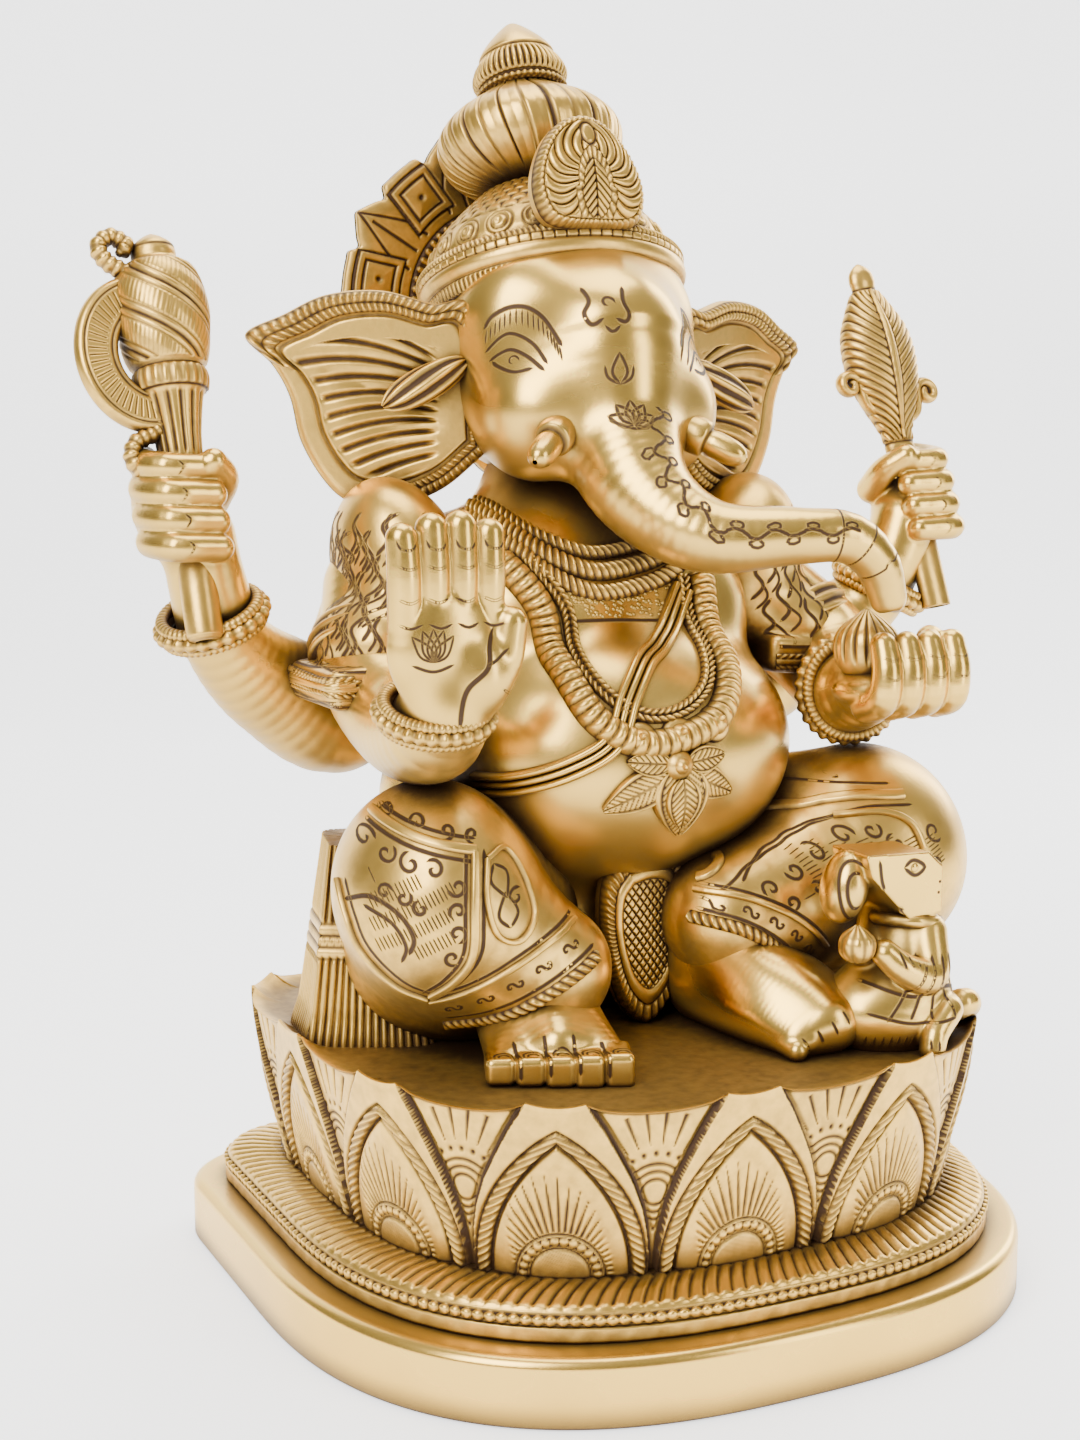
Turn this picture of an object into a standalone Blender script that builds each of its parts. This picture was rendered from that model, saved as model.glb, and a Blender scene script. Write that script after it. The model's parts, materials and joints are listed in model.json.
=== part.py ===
"""Seated Ganesha idol in cast brass, on a lotus pedestal and a stepped plinth.

Frame: +Z up, the idol faces -Y, +X is the idol's own left, origin at the middle of the underside.
The figures below are millimetres; MM turns them into metres when a mesh is made.
"""

import math

import bmesh
import bpy
from mathutils import Matrix, Vector
from mathutils.bvhtree import BVHTree

MM = 0.001
GAP = 0.35  # clearance between two machined faces
CUT_GAP = 0.5  # clearance where one casting is dressed back to fit another

# Plinth and pedestal, all with one D-shaped plan: straight back, straight sides, rounded front.
PLAN_HALF_WIDTH = 92.5
PLAN_HALF_DEPTH = 80.0
PLAN_SIDES_END = 12.0  # y where the straight sides turn into the rounded front
PLAN_ROUNDNESS = 2.6
PLATE_CORNER = 22.0
LOTUS_CORNER = 34.0
PLATE_TOP = 15.3
MOULDING_TOP = 24.9
LOTUS_BOTTOM = 25.25
SEAT_TOP = 62.0
RIM_TOP = 65.6
WALL = 4.0
RING_INNER = 30.0  # inset of the opening that runs up through plate and moulding
LOTUS_FOOT_INSET = 17.3
LOTUS_RIM_INSET = 10.0

# The figure is a hollow casting, open underneath.
CORE_LOW = 55.0

# Head and crown.
HEAD_CENTRE = (0.0, 44.0, 219.0)
HEAD_RADII = (34.5, 31.0, 29.0)
CROWN_CENTRE_Y = 44.5
CROWN_DEPTH = 0.88  # front-to-back radius over the sideways one
BRIM_MIDDLE = 236.4  # height of the middle of the crown's brim
BRIM_TILT = math.radians(20.0)  # the brim hangs lower at the back
BRIM_RADIUS = 34.0
BRIM_HALF_HEIGHT = 6.0
DOME_FOOT = 6.6
DOME_HEAD = 26.0
CROWN_LEAN = math.radians(20.0)
TOTAL_HEIGHT = 305.0

# Rear attributes lean back from the fists.
MACE_FOOT = (-96.5, 26.0, 155.0)
MACE_HEAD = (-99.0, 54.0, 246.0)
BUD_FOOT = (106.0, 26.0, 155.0)
BUD_HEAD = (97.5, 54.0, 246.0)

# Ears stand in planes swept back from the temples.
EAR_ROOT = (30.0, 33.0)
EAR_SWEEP = math.radians(25.0)
EAR_THICKNESS = 6.0

FINISHES = {
    "polished_brass": ((0.80, 0.60, 0.29), 0.24),
    "engraved_brass": ((0.70, 0.51, 0.23), 0.36),
}


def clear_scene():
    for thing in list(bpy.data.objects):
        bpy.data.objects.remove(thing, do_unlink=True)


def material(slot):
    found = bpy.data.materials.get(slot)
    if found:
        return found
    colour, roughness = FINISHES[slot]
    made = bpy.data.materials.new(slot)
    made.use_nodes = True
    shader = made.node_tree.nodes["Principled BSDF"]
    shader.inputs["Base Color"].default_value = (*colour, 1.0)
    shader.inputs["Roughness"].default_value = roughness
    shader.inputs["Metallic"].default_value = 1.0
    return made


# ---------------------------------------------------------------- shapes added to a bmesh


def add_ball(bm, centre, radii, turn=None, segments=20, rings=12):
    """An ellipsoid; turn is a rotation matrix."""
    place = Matrix.Translation(Vector(centre))
    if turn is not None:
        place = place @ turn.to_4x4()
    place = place @ Matrix.Diagonal((*radii, 1.0))
    bmesh.ops.create_uvsphere(bm, u_segments=segments, v_segments=rings, radius=1.0, matrix=place)


def add_rings(bm, rings):
    """A closed body through rings of equal count, capped at both ends."""
    made = [[bm.verts.new(point) for point in ring] for ring in rings]
    count = len(made[0])
    for low, high in zip(made, made[1:]):
        for i in range(count):
            j = (i + 1) % count
            bm.faces.new((low[i], low[j], high[j], high[i]))
    bm.faces.new(list(reversed(made[0])))
    bm.faces.new(made[-1])


def frames_along(points, hint):
    """Tangent, side and normal at each point of a path."""
    points = [Vector(p) for p in points]
    found = []
    for i in range(len(points)):
        along = points[min(i + 1, len(points) - 1)] - points[max(i - 1, 0)]
        along.normalize()
        side = along.cross(hint)
        if side.length < 1e-4:
            side = along.cross(Vector((1.0, 0.0, 0.0)))
        side.normalize()
        found.append((points[i], along, side, side.cross(along).normalized()))
    return found


def add_sweep(bm, points, wide, high, sides=8, hint=(0.0, 1.0, 0.0), round_ends=False):
    """An elliptical tube along a path. wide and high are the half sizes, one each or one per point."""
    count = len(points)
    wide = [wide] * count if isinstance(wide, (int, float)) else list(wide)
    high = [high] * count if isinstance(high, (int, float)) else list(high)
    path = frames_along(points, Vector(hint))
    rings = []

    def ring(centre, side, normal, a, b):
        turns = [2.0 * math.pi * k / sides for k in range(sides)]
        return [centre + side * (a * math.cos(t)) + normal * (b * math.sin(t)) for t in turns]

    if round_ends:
        centre, along, side, normal = path[0]
        rings.append(ring(centre - along * 0.8 * wide[0], side, normal, 0.45 * wide[0], 0.45 * high[0]))
    for (centre, along, side, normal), a, b in zip(path, wide, high):
        rings.append(ring(centre, side, normal, a, b))
    if round_ends:
        centre, along, side, normal = path[-1]
        rings.append(ring(centre + along * 0.8 * wide[-1], side, normal, 0.45 * wide[-1], 0.45 * high[-1]))
    add_rings(bm, rings)


def add_limb(bm, points, radii, sides=12):
    """A round limb: a ball at each joint and a taper between."""
    for point, radius in zip(points, radii):
        add_ball(bm, point, (radius, radius, radius), segments=14, rings=8)
    add_sweep(bm, points, radii, radii, sides=sides)


def add_lathe(bm, profile, foot, head, steps=20, squash=1.0):
    """Turns (distance along the axis, radius) round the line from foot to head."""
    foot = Vector(foot)
    axis = (Vector(head) - foot).normalized()
    side = axis.orthogonal().normalized()
    if abs(axis.x) < 0.9:
        side = (Vector((1.0, 0.0, 0.0)) - axis * axis.x).normalized()
    other = axis.cross(side).normalized()
    rings = []
    for distance, radius in profile:
        turns = [2.0 * math.pi * k / steps for k in range(steps)]
        spot = foot + axis * distance
        rings.append(
            [spot + side * (radius * math.cos(t)) + other * (squash * radius * math.sin(t)) for t in turns]
        )
    add_rings(bm, rings)


def add_slab(bm, outline, place, thickness):
    """A flat plate: outline points (a, b) put through place, half the thickness on each side."""
    rings = []
    for depth in (-thickness / 2.0, thickness / 2.0):
        rings.append([place @ Vector((a, b, depth)) for a, b in outline])
    add_rings(bm, rings)


def add_hoop(bm, centre, axis, radius, half_width, half_height, steps=16, sides=6, stretch=1.0):
    """A closed ring with an elliptical section."""
    axis = Vector(axis).normalized()
    side = axis.orthogonal().normalized()
    other = axis.cross(side)
    loops = []
    for i in range(steps):
        turn = 2.0 * math.pi * i / steps
        out = side * math.cos(turn) + other * math.sin(turn) * stretch
        spot = Vector(centre) + out * radius
        loop = []
        for k in range(sides):
            t = 2.0 * math.pi * k / sides
            offset = out * (half_width * math.cos(t)) + axis * (half_height * math.sin(t))
            loop.append(bm.verts.new(spot + offset))
        loops.append(loop)
    for i in range(steps):
        here, there = loops[i], loops[(i + 1) % steps]
        for k in range(sides):
            n = (k + 1) % sides
            bm.faces.new((here[k], here[n], there[n], there[k]))


# ---------------------------------------------------------------- objects and clearances

PLACED = []
WHOLE = {}  # each piece's mesh before it was dressed back, by name


def obj_from(bm, name, slot, weld=0.0):
    bmesh.ops.recalc_face_normals(bm, faces=bm.faces)
    for vert in bm.verts:
        vert.co *= MM
    mesh = bpy.data.meshes.new(name)
    bm.to_mesh(mesh)
    bm.free()
    made = bpy.data.objects.new(name, mesh)
    bpy.context.scene.collection.objects.link(made)
    mesh.materials.append(material(slot))
    return made


def bake(made):
    """Replaces the mesh by what its modifiers make of it."""
    bpy.context.view_layer.update()
    graph = bpy.context.evaluated_depsgraph_get()
    result = bpy.data.meshes.new_from_object(made.evaluated_get(graph), depsgraph=graph)
    old = made.data
    made.modifiers.clear()
    made.data = result
    bpy.data.meshes.remove(old)


def keep_largest(made):
    """Drops the loose scraps that a cut leaves behind."""
    bm = bmesh.new()
    bm.from_mesh(made.data)
    left = set(bm.verts)
    groups = []
    while left:
        start = left.pop()
        group = {start}
        edge = [start]
        while edge:
            vert = edge.pop()
            for link in vert.link_edges:
                other = link.other_vert(vert)
                if other in left:
                    left.discard(other)
                    group.add(other)
                    edge.append(other)
        groups.append(group)

    def size(group):
        low = [min(v.co[i] for v in group) for i in range(3)]
        high = [max(v.co[i] for v in group) for i in range(3)]
        return sum(b - a for a, b in zip(low, high))

    groups.sort(key=size, reverse=True)
    for group in groups[1:]:
        bmesh.ops.delete(bm, geom=list(group), context="VERTS")
    bm.to_mesh(made.data)
    bm.free()


def simplify(made, voxel, triangles):
    """Melts overlapping shapes into one skin and thins it to about this many triangles."""
    remesh = made.modifiers.new("melt", "REMESH")
    remesh.mode = "VOXEL"
    remesh.voxel_size = voxel * MM
    bake(made)
    keep_largest(made)
    faces = sum(len(p.vertices) - 2 for p in made.data.polygons)
    if faces > triangles:
        thin = made.modifiers.new("thin", "DECIMATE")
        thin.ratio = triangles / faces
        thin.use_collapse_triangulate = True
        bake(made)


def box_of(made):
    points = [made.matrix_world @ vert.co for vert in made.data.vertices]
    low = [min(p[i] for p in points) for i in range(3)]
    high = [max(p[i] for p in points) for i in range(3)]
    return low, high


def boxes_meet(one, two, margin):
    (la, ha), (lb, hb) = box_of(one), box_of(two)
    return all(la[i] - margin < hb[i] and lb[i] - margin < ha[i] for i in range(3))


def swollen(made, by):
    """The whole piece pushed out along its normals, used as a cutter."""
    bm = bmesh.new()
    bm.from_mesh(WHOLE[made.name])
    bm.normal_update()
    moves = [(v, v.normal * by * MM * min(v.calc_shell_factor(), 1.8)) for v in bm.verts]
    for vert, move in moves:
        vert.co += move
    mesh = bpy.data.meshes.new(made.name + "_cutter")
    bm.to_mesh(mesh)
    bm.free()
    cutter = bpy.data.objects.new(made.name + "_cutter", mesh)
    bpy.context.scene.collection.objects.link(cutter)
    cutter.hide_render = True
    cutter.display_type = "WIRE"
    return cutter


def cut_by(made, cutter):
    change = made.modifiers.new("cut", "BOOLEAN")
    change.operation = "DIFFERENCE"
    change.solver = "EXACT"
    change.object = cutter
    bake(made)
    bpy.data.objects.remove(cutter, do_unlink=True)


def place(made, fit=True):
    """Cuts a casting back from every earlier neighbour, then adds it to the idol."""
    WHOLE.setdefault(made.name, made.data.copy())
    for other in PLACED:
        if fit and boxes_meet(made, other, 1.5 * CUT_GAP * MM):
            cut_by(made, swollen(other, CUT_GAP))
    keep_largest(made)
    if not made.data.vertices:
        raise RuntimeError(f"{made.name} was cut away completely")
    made.data.shade_smooth()
    PLACED.append(made)
    return made


def hollow(made, build):
    """Takes the casting core out of a piece."""
    bm = bmesh.new()
    build(bm)
    core = obj_from(bm, made.name + "_core", "polished_brass")
    simplify(core, 2.5, 420)
    core.hide_render = True
    cut_by(made, core)


def shape(name, slot, build, melt=None, fit=True, core=None):
    """Makes one node: build fills a bmesh, melt is (voxel, triangles) for organic pieces.

    fit is False for a piece whose own dimensions already leave the clearance, and core is the
    shape of its casting core.
    """
    bm = bmesh.new()
    build(bm)
    made = obj_from(bm, name, slot)
    if melt:
        simplify(made, *melt)
    if core:
        WHOLE[name] = made.data.copy()
        hollow(made, core)
    return place(made, fit)


def pair(name, slot, build, melt=None):
    """The same piece on the idol's right (-X) and left (+X); build takes the side, -1 or +1."""
    for label, side in (("right", -1.0), ("left", 1.0)):
        shape(f"{label}_{name}", slot, lambda bm, side=side: build(bm, side), melt)


# ---------------------------------------------------------------- plinth and pedestal


def plan(inset, corner, z, arc_steps=20, corner_steps=3):
    """The D-shaped plan at this inset, as a ring of points."""
    half = PLAN_HALF_WIDTH - inset
    back = PLAN_HALF_DEPTH - inset
    front = -PLAN_HALF_DEPTH + inset
    corner = max(corner - 0.4 * inset, 4.0)
    ring = []
    for i in range(arc_steps + 1):
        turn = math.pi * i / arc_steps
        c, s = math.cos(turn), math.sin(turn)
        x = half * math.copysign(abs(c) ** (2.0 / PLAN_ROUNDNESS), c)
        y = PLAN_SIDES_END - (PLAN_SIDES_END - front) * abs(s) ** (2.0 / PLAN_ROUNDNESS)
        ring.append((x, y, z))
    for i in range(corner_steps + 1):
        turn = 0.5 * math.pi * i / corner_steps
        ring.append((-half + corner * (1 - math.cos(turn)), back - corner * (1 - math.sin(turn)), z))
    for i in range(corner_steps + 1):
        turn = 0.5 * math.pi * i / corner_steps
        ring.append((half - corner * (1 - math.sin(turn)), back - corner * (1 - math.cos(turn)), z))
    return [Vector(p) for p in ring]


def add_plan_ring(bm, profile, corner):
    """Carries a closed profile of (inset, z) round the plan."""
    loops = [[bm.verts.new(p) for p in plan(inset, corner, z)] for inset, z in profile]
    for k in range(len(loops)):
        low, high = loops[k], loops[(k + 1) % len(loops)]
        for i in range(len(low)):
            j = (i + 1) % len(low)
            bm.faces.new((low[i], low[j], high[j], high[i]))


def build_plate(bm):
    top = PLATE_TOP
    profile = [(0.8, 0.0), (0.0, 0.8), (0.0, top - 2.2), (0.7, top - 0.7), (2.2, top)]
    profile += [(RING_INNER, top), (RING_INNER, top - WALL), (WALL, top - WALL), (WALL, 0.0)]
    add_plan_ring(bm, profile, PLATE_CORNER)


def build_moulding(bm):
    low, top = PLATE_TOP + GAP, MOULDING_TOP
    profile = [(7.1, low), (7.3, 19.0), (7.6, 19.6), (7.0, 21.2), (8.2, 23.0), (17.0, top)]
    profile += [(RING_INNER, top), (RING_INNER, low)]
    add_plan_ring(bm, profile, PLATE_CORNER)


def build_lotus(bm):
    slope = (LOTUS_RIM_INSET - LOTUS_FOOT_INSET) / (RIM_TOP - LOTUS_BOTTOM)

    def inset_at(z):
        return LOTUS_FOOT_INSET + slope * (z - LOTUS_BOTTOM)

    heights = [LOTUS_BOTTOM, 38.0, 52.0, RIM_TOP]
    outer = [plan(inset_at(z), LOTUS_CORNER, z) for z in heights]
    lip = [plan(inset_at(RIM_TOP) + 4.5, LOTUS_CORNER, RIM_TOP)]
    seat = [plan(inset_at(SEAT_TOP) + 5.0, LOTUS_CORNER, SEAT_TOP)]
    ceiling = SEAT_TOP - WALL
    inner = [plan(inset_at(z) + WALL + 0.5, LOTUS_CORNER, z) for z in (ceiling, LOTUS_BOTTOM)]
    outside = outer + lip + seat
    loops = [[bm.verts.new(p) for p in ring] for ring in outside]
    hollow = [[bm.verts.new(p) for p in ring] for ring in inner]
    chain = [hollow[0], hollow[1]] + loops
    for low, high in zip(chain, chain[1:]):
        for i in range(len(low)):
            j = (i + 1) % len(low)
            bm.faces.new((low[i], low[j], high[j], high[i]))
    bm.faces.new(loops[-1])
    bm.faces.new(list(reversed(hollow[0])))


# ---------------------------------------------------------------- figure


def build_torso(bm):
    add_ball(bm, (0, 12, 127), (45, 37, 33))
    add_ball(bm, (0, 32, 160), (44, 28, 30))
    add_ball(bm, (0, 36, 110), (50, 30, 42))
    add_ball(bm, (0, 32, 78), (56, 30, 24))
    add_limb(bm, [(-44, 42, 164), (44, 42, 164)], [16, 16])
    add_limb(bm, [(0, 40, 168), (0, 42, 184)], [24, 20])


def build_core(bm):
    add_ball(bm, (0, 14, 127), (37, 30, 26))
    add_ball(bm, (0, 36, 104), (41, 22, 42))
    add_ball(bm, (0, 32, 74), (47, 22, 26))
    add_ball(bm, (0, 34, 150), (33, 18, 22))
    add_sweep(bm, [(0, 33, CORE_LOW), (0, 33, 76)], 44, 19, sides=16)


def build_head(bm):
    add_ball(bm, HEAD_CENTRE, HEAD_RADII, segments=24, rings=14)
    add_ball(bm, (0, 30, 230), (29, 18, 20))
    add_ball(bm, (-15, 22, 207), (16, 18, 17))
    add_ball(bm, (15, 22, 207), (16, 18, 17))
    trunk = [(0, 18, 222), (0, 11, 204), (0, -3, 188), (9, -17, 178.5), (26, -27, 178.5), (38, -30.5, 178)]
    trunk += [(46, -31, 172), (50, -30, 164)]
    add_limb(bm, trunk, [20, 15.5, 11.5, 8.6, 6.6, 5.9, 5.2, 4.4])


def build_leg(bm, side):
    if side < 0:
        add_limb(bm, [(-28, 28, 90), (-53.5, -2, 101)], [27, 22])
        add_ball(bm, (-55.5, -8, 100), (18.5, 22, 23.5))
        add_ball(bm, (-42, 10, 80), (27, 25, 20))
        add_limb(bm, [(-54, -10, 96), (-30, -18, 82)], [20, 17])
    else:
        add_limb(bm, [(28, 28, 90), (60, -2, 99)], [27, 25])
        add_ball(bm, (62, -8, 99), (20.5, 22, 23.5))
        add_ball(bm, (46, 12, 80), (30, 26, 20))
        add_limb(bm, [(60, -10, 96), (18, -13, 88)], [22, 16])


def build_foot(bm, side):
    """The right foot stands flat; the left one lies on its outer edge."""
    if side < 0:
        heel, toes, across = Vector((-33, -14, 0)), Vector((-38.4, -40.5, 0)), Vector((0.93, -0.38, 0))
        sections = ((0.0, 11.0, 84.0), (0.45, 13.0, 80.0), (0.75, 15.5, 72.0), (1.0, 16.0, 69.0))
    else:
        heel, toes, across = Vector((17, -6, 0)), Vector((22, -49, 0)), Vector((1.0, 0.1, 0))
        sections = ((0.0, 13.0, 89.0), (0.4, 14.0, 84.5), (0.75, 12.0, 79.0), (0.97, 9.5, 73.5))
    rings = []
    for share, half, top in sections:
        spot = heel.lerp(toes, share)
        ring = []
        side_top = 0.6 * top + 25.0
        section = [(-1.0, 61.0), (1.0, 61.0), (1.0, side_top), (0.55, top), (-0.55, top), (-1.0, side_top)]
        for offset, z in section:
            ring.append(spot + across * (half * offset) + Vector((0, 0, z)))
        rings.append(ring)
    add_rings(bm, rings)


def build_drape(bm, side):
    low = [(79, 12), (66, 5), (52, 2), (48, 24), (72, 36)]
    high = [(72, 15), (64, 10), (55, 8), (52, 24), (66, 33)]
    rings = [[Vector((side * x, y, 61.0)) for x, y in low]]
    rings.append([Vector((side * (x - 1.5), y, 85.0)) for x, y in low])
    rings.append([Vector((side * x, y, 107.0)) for x, y in high])
    add_rings(bm, rings)


def build_rear_arm(bm, side):
    if side < 0:
        points = [(-44, 46, 162), (-55, 50, 134), (-73, 47, 141), (-87, 41, 153), (-93, 36, 168)]
        fist, size = (-97, 34, 184), (12, 12, 13)
    else:
        points = [(44, 46, 162), (56, 50, 136), (75, 47, 143), (91, 40, 155), (98, 36, 168)]
        fist, size = (103.5, 33.5, 188), (12.6, 12, 15)
    add_limb(bm, points, [15, 15, 13, 10, 9])
    add_ball(bm, fist, size)


def build_palm_arm(bm, side):
    points = [(-50, 36, 164), (-57, 23, 147), (-56.5, 6, 137), (-58, -13, 137), (-58.5, -22, 143)]
    add_limb(bm, points, [14, 12.8, 12.5, 11.3, 10])
    add_ball(bm, (-60, -26, 157), (13.5, 6, 15))
    for k in range(4):
        x = -69.3 + 6.1 * k
        tip = (184.5, 186.0, 186.0, 184.0)[k]
        add_limb(bm, [(x, -26, 163), (x, -26, tip - 3.3)], [3.7, 3.4])
    add_limb(bm, [(-53, -25, 148), (-46.5, -28, 160)], [5, 3.9])


def build_bowl_arm(bm, side):
    points = [(50, 36, 164), (64, 22, 148), (64, 10, 141), (57, -4, 139), (56, -16, 141)]
    add_limb(bm, points, [14, 14, 13, 11, 8.5])
    add_ball(bm, (56, -23, 140.5), (15, 14, 6.5))
    for k in range(4):
        x = 46.8 + 6.7 * k
        add_limb(bm, [(x, -33, 140), (x + 0.5, -33, 152)], [3.9, 3.5])


def ear_frame(side):
    out = Vector((side * math.cos(EAR_SWEEP), math.sin(EAR_SWEEP), 0.0))
    up = Vector((0.0, 0.0, 1.0))
    normal = out.cross(up)
    root = Vector((side * EAR_ROOT[0], EAR_ROOT[1], 0.0))
    frame = Matrix((out, up, normal)).transposed().to_4x4()
    frame.translation = root
    return frame


def build_ear(bm, side):
    outline = [(-6, 197), (-4, 230), (7, 232), (19, 235), (32, 234), (42, 229.5)]
    outline += [(51.4, 224.6), (45, 217.5)]
    outline += [(41, 210), (38.5, 199.5), (33, 190), (27, 185), (18, 183.5), (5, 188)]
    add_slab(bm, outline, ear_frame(side), EAR_THICKNESS)


def build_ear_leaf(bm, side):
    turn = Matrix.Rotation(-side * 0.45, 3, "Y") @ Matrix.Rotation(side * EAR_SWEEP, 3, "Z")
    add_ball(bm, (side * 39.5, 32.5, 213), (10.5, 4.5, 5.0), turn, segments=14, rings=8)


def build_tusk(bm, side):
    foot, tip = (side * 14, 9, 204), (side * 28, -3, 195)
    add_lathe(bm, [(0, 4.2), (9.5, 4.2), (10.5, 3.0), (18.5, 2.0), (20.3, 0.9)], foot, tip, 12)


# ---------------------------------------------------------------- crown


def brim(distance):
    """A point on the brim's own axis."""
    y = CROWN_CENTRE_Y + math.sin(BRIM_TILT) * distance
    return (0.0, y, BRIM_MIDDLE + math.cos(BRIM_TILT) * distance)


def build_band(bm):
    half = BRIM_HALF_HEIGHT
    profile = [(-1.55 * half, BRIM_RADIUS - 3.0), (-1.1 * half, BRIM_RADIUS - 2.0), (0.0, BRIM_RADIUS)]
    profile += [(0.6 * half, BRIM_RADIUS), (half, BRIM_RADIUS - 2.5)]
    add_lathe(bm, profile, brim(0.0), brim(1.0), steps=26, squash=CROWN_DEPTH)


def build_dome(bm):
    profile = [(DOME_FOOT, 30.8), (8.5, 30.8), (12.0, 29.0), (16.0, 25.6)]
    profile += [(20.0, 21.2), (23.5, 16.8), (DOME_HEAD, 10.0)]
    add_lathe(bm, profile, brim(0.0), brim(1.0), steps=24, squash=CROWN_DEPTH)


def crown_axis(distance):
    """A point on the leaning axis of bun and finial."""
    return Vector((0.0, 57.0 + math.sin(CROWN_LEAN) * distance, 272.0 + math.cos(CROWN_LEAN) * distance))


def build_bun(bm):
    profile = [(-11.5, 9), (-9, 17), (-5, 22), (0, 24), (4, 23.3), (8, 20), (12, 14), (14.5, 10)]
    add_lathe(bm, profile, crown_axis(0), crown_axis(1), 18, squash=0.92)


def build_finial(bm):
    profile = [(15, 9), (16, 11.5), (18.5, 12.3), (21, 11), (24, 8.2)]
    profile += [(25, 8.4), (27, 8), (30, 6), (33, 3), (34.6, 0.8)]
    add_lathe(bm, profile, crown_axis(0), crown_axis(1), 14)


def build_plaque(bm):
    turn = Matrix.Rotation(math.radians(-16.0), 3, "X")
    add_ball(bm, (-3, 24.5, 261), (14.5, 7.5, 14.3), turn, segments=18, rings=10)


def build_halo(bm):
    frame = Matrix(((1, 0, 0, 0), (0, 0, -1, 77.3), (0, 1, 0, 234.0), (0, 0, 0, 1)))
    outline = []
    points = 36
    for k in range(points):
        turn = 2.0 * math.pi * k / points
        radius = 42.5 + 3.2 * math.cos(turn * 9.0)
        outline.append((radius * math.cos(turn), radius * math.sin(turn)))
    add_slab(bm, outline, frame, 4.6)


# ---------------------------------------------------------------- hands' attributes


def shaft(side):
    if side < 0:
        return Vector(MACE_FOOT), Vector(MACE_HEAD)
    return Vector(BUD_FOOT), Vector(BUD_HEAD)


def build_mace(bm):
    foot, head = shaft(-1.0)
    profile = [(0, 3.6), (4, 4.4), (26, 4.4), (44, 5.4), (58, 7.4)]
    profile += [(59.5, 8.6), (63, 8.6), (65, 8.8), (76, 10.8)]
    profile += [(84, 10.4), (88, 8), (90, 5.2), (93, 5.0), (95, 2.5), (96.2, 1.0)]
    add_lathe(bm, profile, foot, head, 14)


def build_axe(bm):
    foot, head = shaft(-1.0)
    axis = (head - foot).normalized()
    out = Vector((-1.0, 0.0, 0.0))
    normal = out.cross(axis).normalized()
    frame = Matrix((out, axis, normal)).transposed().to_4x4()
    frame.translation = foot + axis * 67.0 + normal * -1.0
    outline = []
    for k in range(13):
        turn = math.radians(-98 + 196 * k / 12)
        outline.append((6 + 15.6 * math.cos(turn), 18.5 * math.sin(turn)))
    for k in range(9):
        turn = math.radians(70 - 140 * k / 8)
        outline.append((3 + 8.5 * math.cos(turn), 9.5 * math.sin(turn)))
    add_slab(bm, outline, frame, 5.0)
    for hand, start, end in ((1.0, (4.5, 16.5), (10.5, 25.0)), (-1.0, (4.5, -16.5), (9.0, -24.5))):
        places = [frame @ Vector((a, b, 0.0)) for a, b in (start, end)]
        add_limb(bm, places, [2.2, 4.3])


def build_leaf_bud(bm):
    foot, head = shaft(1.0)
    axis = (head - foot).normalized()
    profile = [(0, 3.6), (4, 4.4), (44, 4.6), (54, 7), (60, 9.6), (70, 11)]
    profile += [(80, 9), (87, 5), (90, 3.8), (93, 3.8), (96, 1)]
    add_lathe(bm, profile, foot, head, 16, squash=0.62)
    for offset, along in ((-12.5, 62.0), (12.5, 60.0)):
        spot = foot + axis * along + Vector((offset, 0, 0))
        add_ball(bm, spot, (4.2, 3.0, 4.2), segments=12, rings=8)


# ---------------------------------------------------------------- ornaments that lie on the body


def front_of(names):
    """A finder of the frontmost surface of these castings at (x, z), in millimetres."""
    trees = []
    for made in PLACED:
        if made.name in names:
            bm = bmesh.new()
            bm.from_mesh(made.data)
            trees.append(BVHTree.FromBMesh(bm))
            bm.free()

    def find(x, z, fallback=20.0):
        best = None
        for tree in trees:
            hit = tree.ray_cast(Vector((x * MM, -0.3, z * MM)), Vector((0, 1, 0)))
            if hit[0] is not None and (best is None or hit[0].y < best):
                best = hit[0].y
        return fallback if best is None else best / MM

    return find


def smooth_path(points, steps):
    """Catmull-Rom through (x, z) points."""
    found = []
    for i in range(len(points) - 1):
        p = [Vector(points[max(0, min(len(points) - 1, i + k))]) for k in (-1, 0, 1, 2)]
        for s in range(steps):
            t = s / steps
            found.append(
                0.5
                * (
                    2 * p[1]
                    + (p[2] - p[0]) * t
                    + (2 * p[0] - 5 * p[1] + 4 * p[2] - p[3]) * t * t
                    + (3 * p[1] - p[0] - 3 * p[2] + p[3]) * t * t * t
                )
            )
    found.append(Vector(points[-1]))
    return found


def build_draped(points, wide, high, names, lift=0.0, steps=3, sides=6):
    find = front_of(names)

    def build(bm):
        path = []
        for x, z in smooth_path(points, steps):
            path.append((x, find(x, z) - lift, z))
        add_sweep(bm, path, wide, high, sides=sides)

    return build


def build_pendant(bm):
    find = front_of(("torso",))
    y = find(-3, 124) - 1.0
    turn = Matrix.Rotation(math.radians(-8.0), 3, "X")
    add_ball(bm, (-3, y, 126), (9.5, 4, 6.5), turn, segments=14, rings=8)
    add_ball(bm, (-2.4, y, 119), (6, 4, 7.5), turn, segments=12, rings=8)
    add_ball(bm, (-11, y + 0.5, 122), (8, 3.2, 4.5), turn, segments=12, rings=8)


def build_pleat(bm):
    outline = [(-7, 103), (0, 104.5), (7, 103), (11, 97), (11.5, 86)]
    outline += [(9, 74), (5.5, 66), (0, 61), (-5.5, 66), (-9, 74)]
    outline += [(-11.5, 86), (-11, 97)]
    frame = Matrix(((1, 0, 0, 0), (0, 0, -1, -3.0), (0, 1, 0, 0), (0, 0, 0, 1)))
    add_slab(bm, outline, frame, 9.0)


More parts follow.
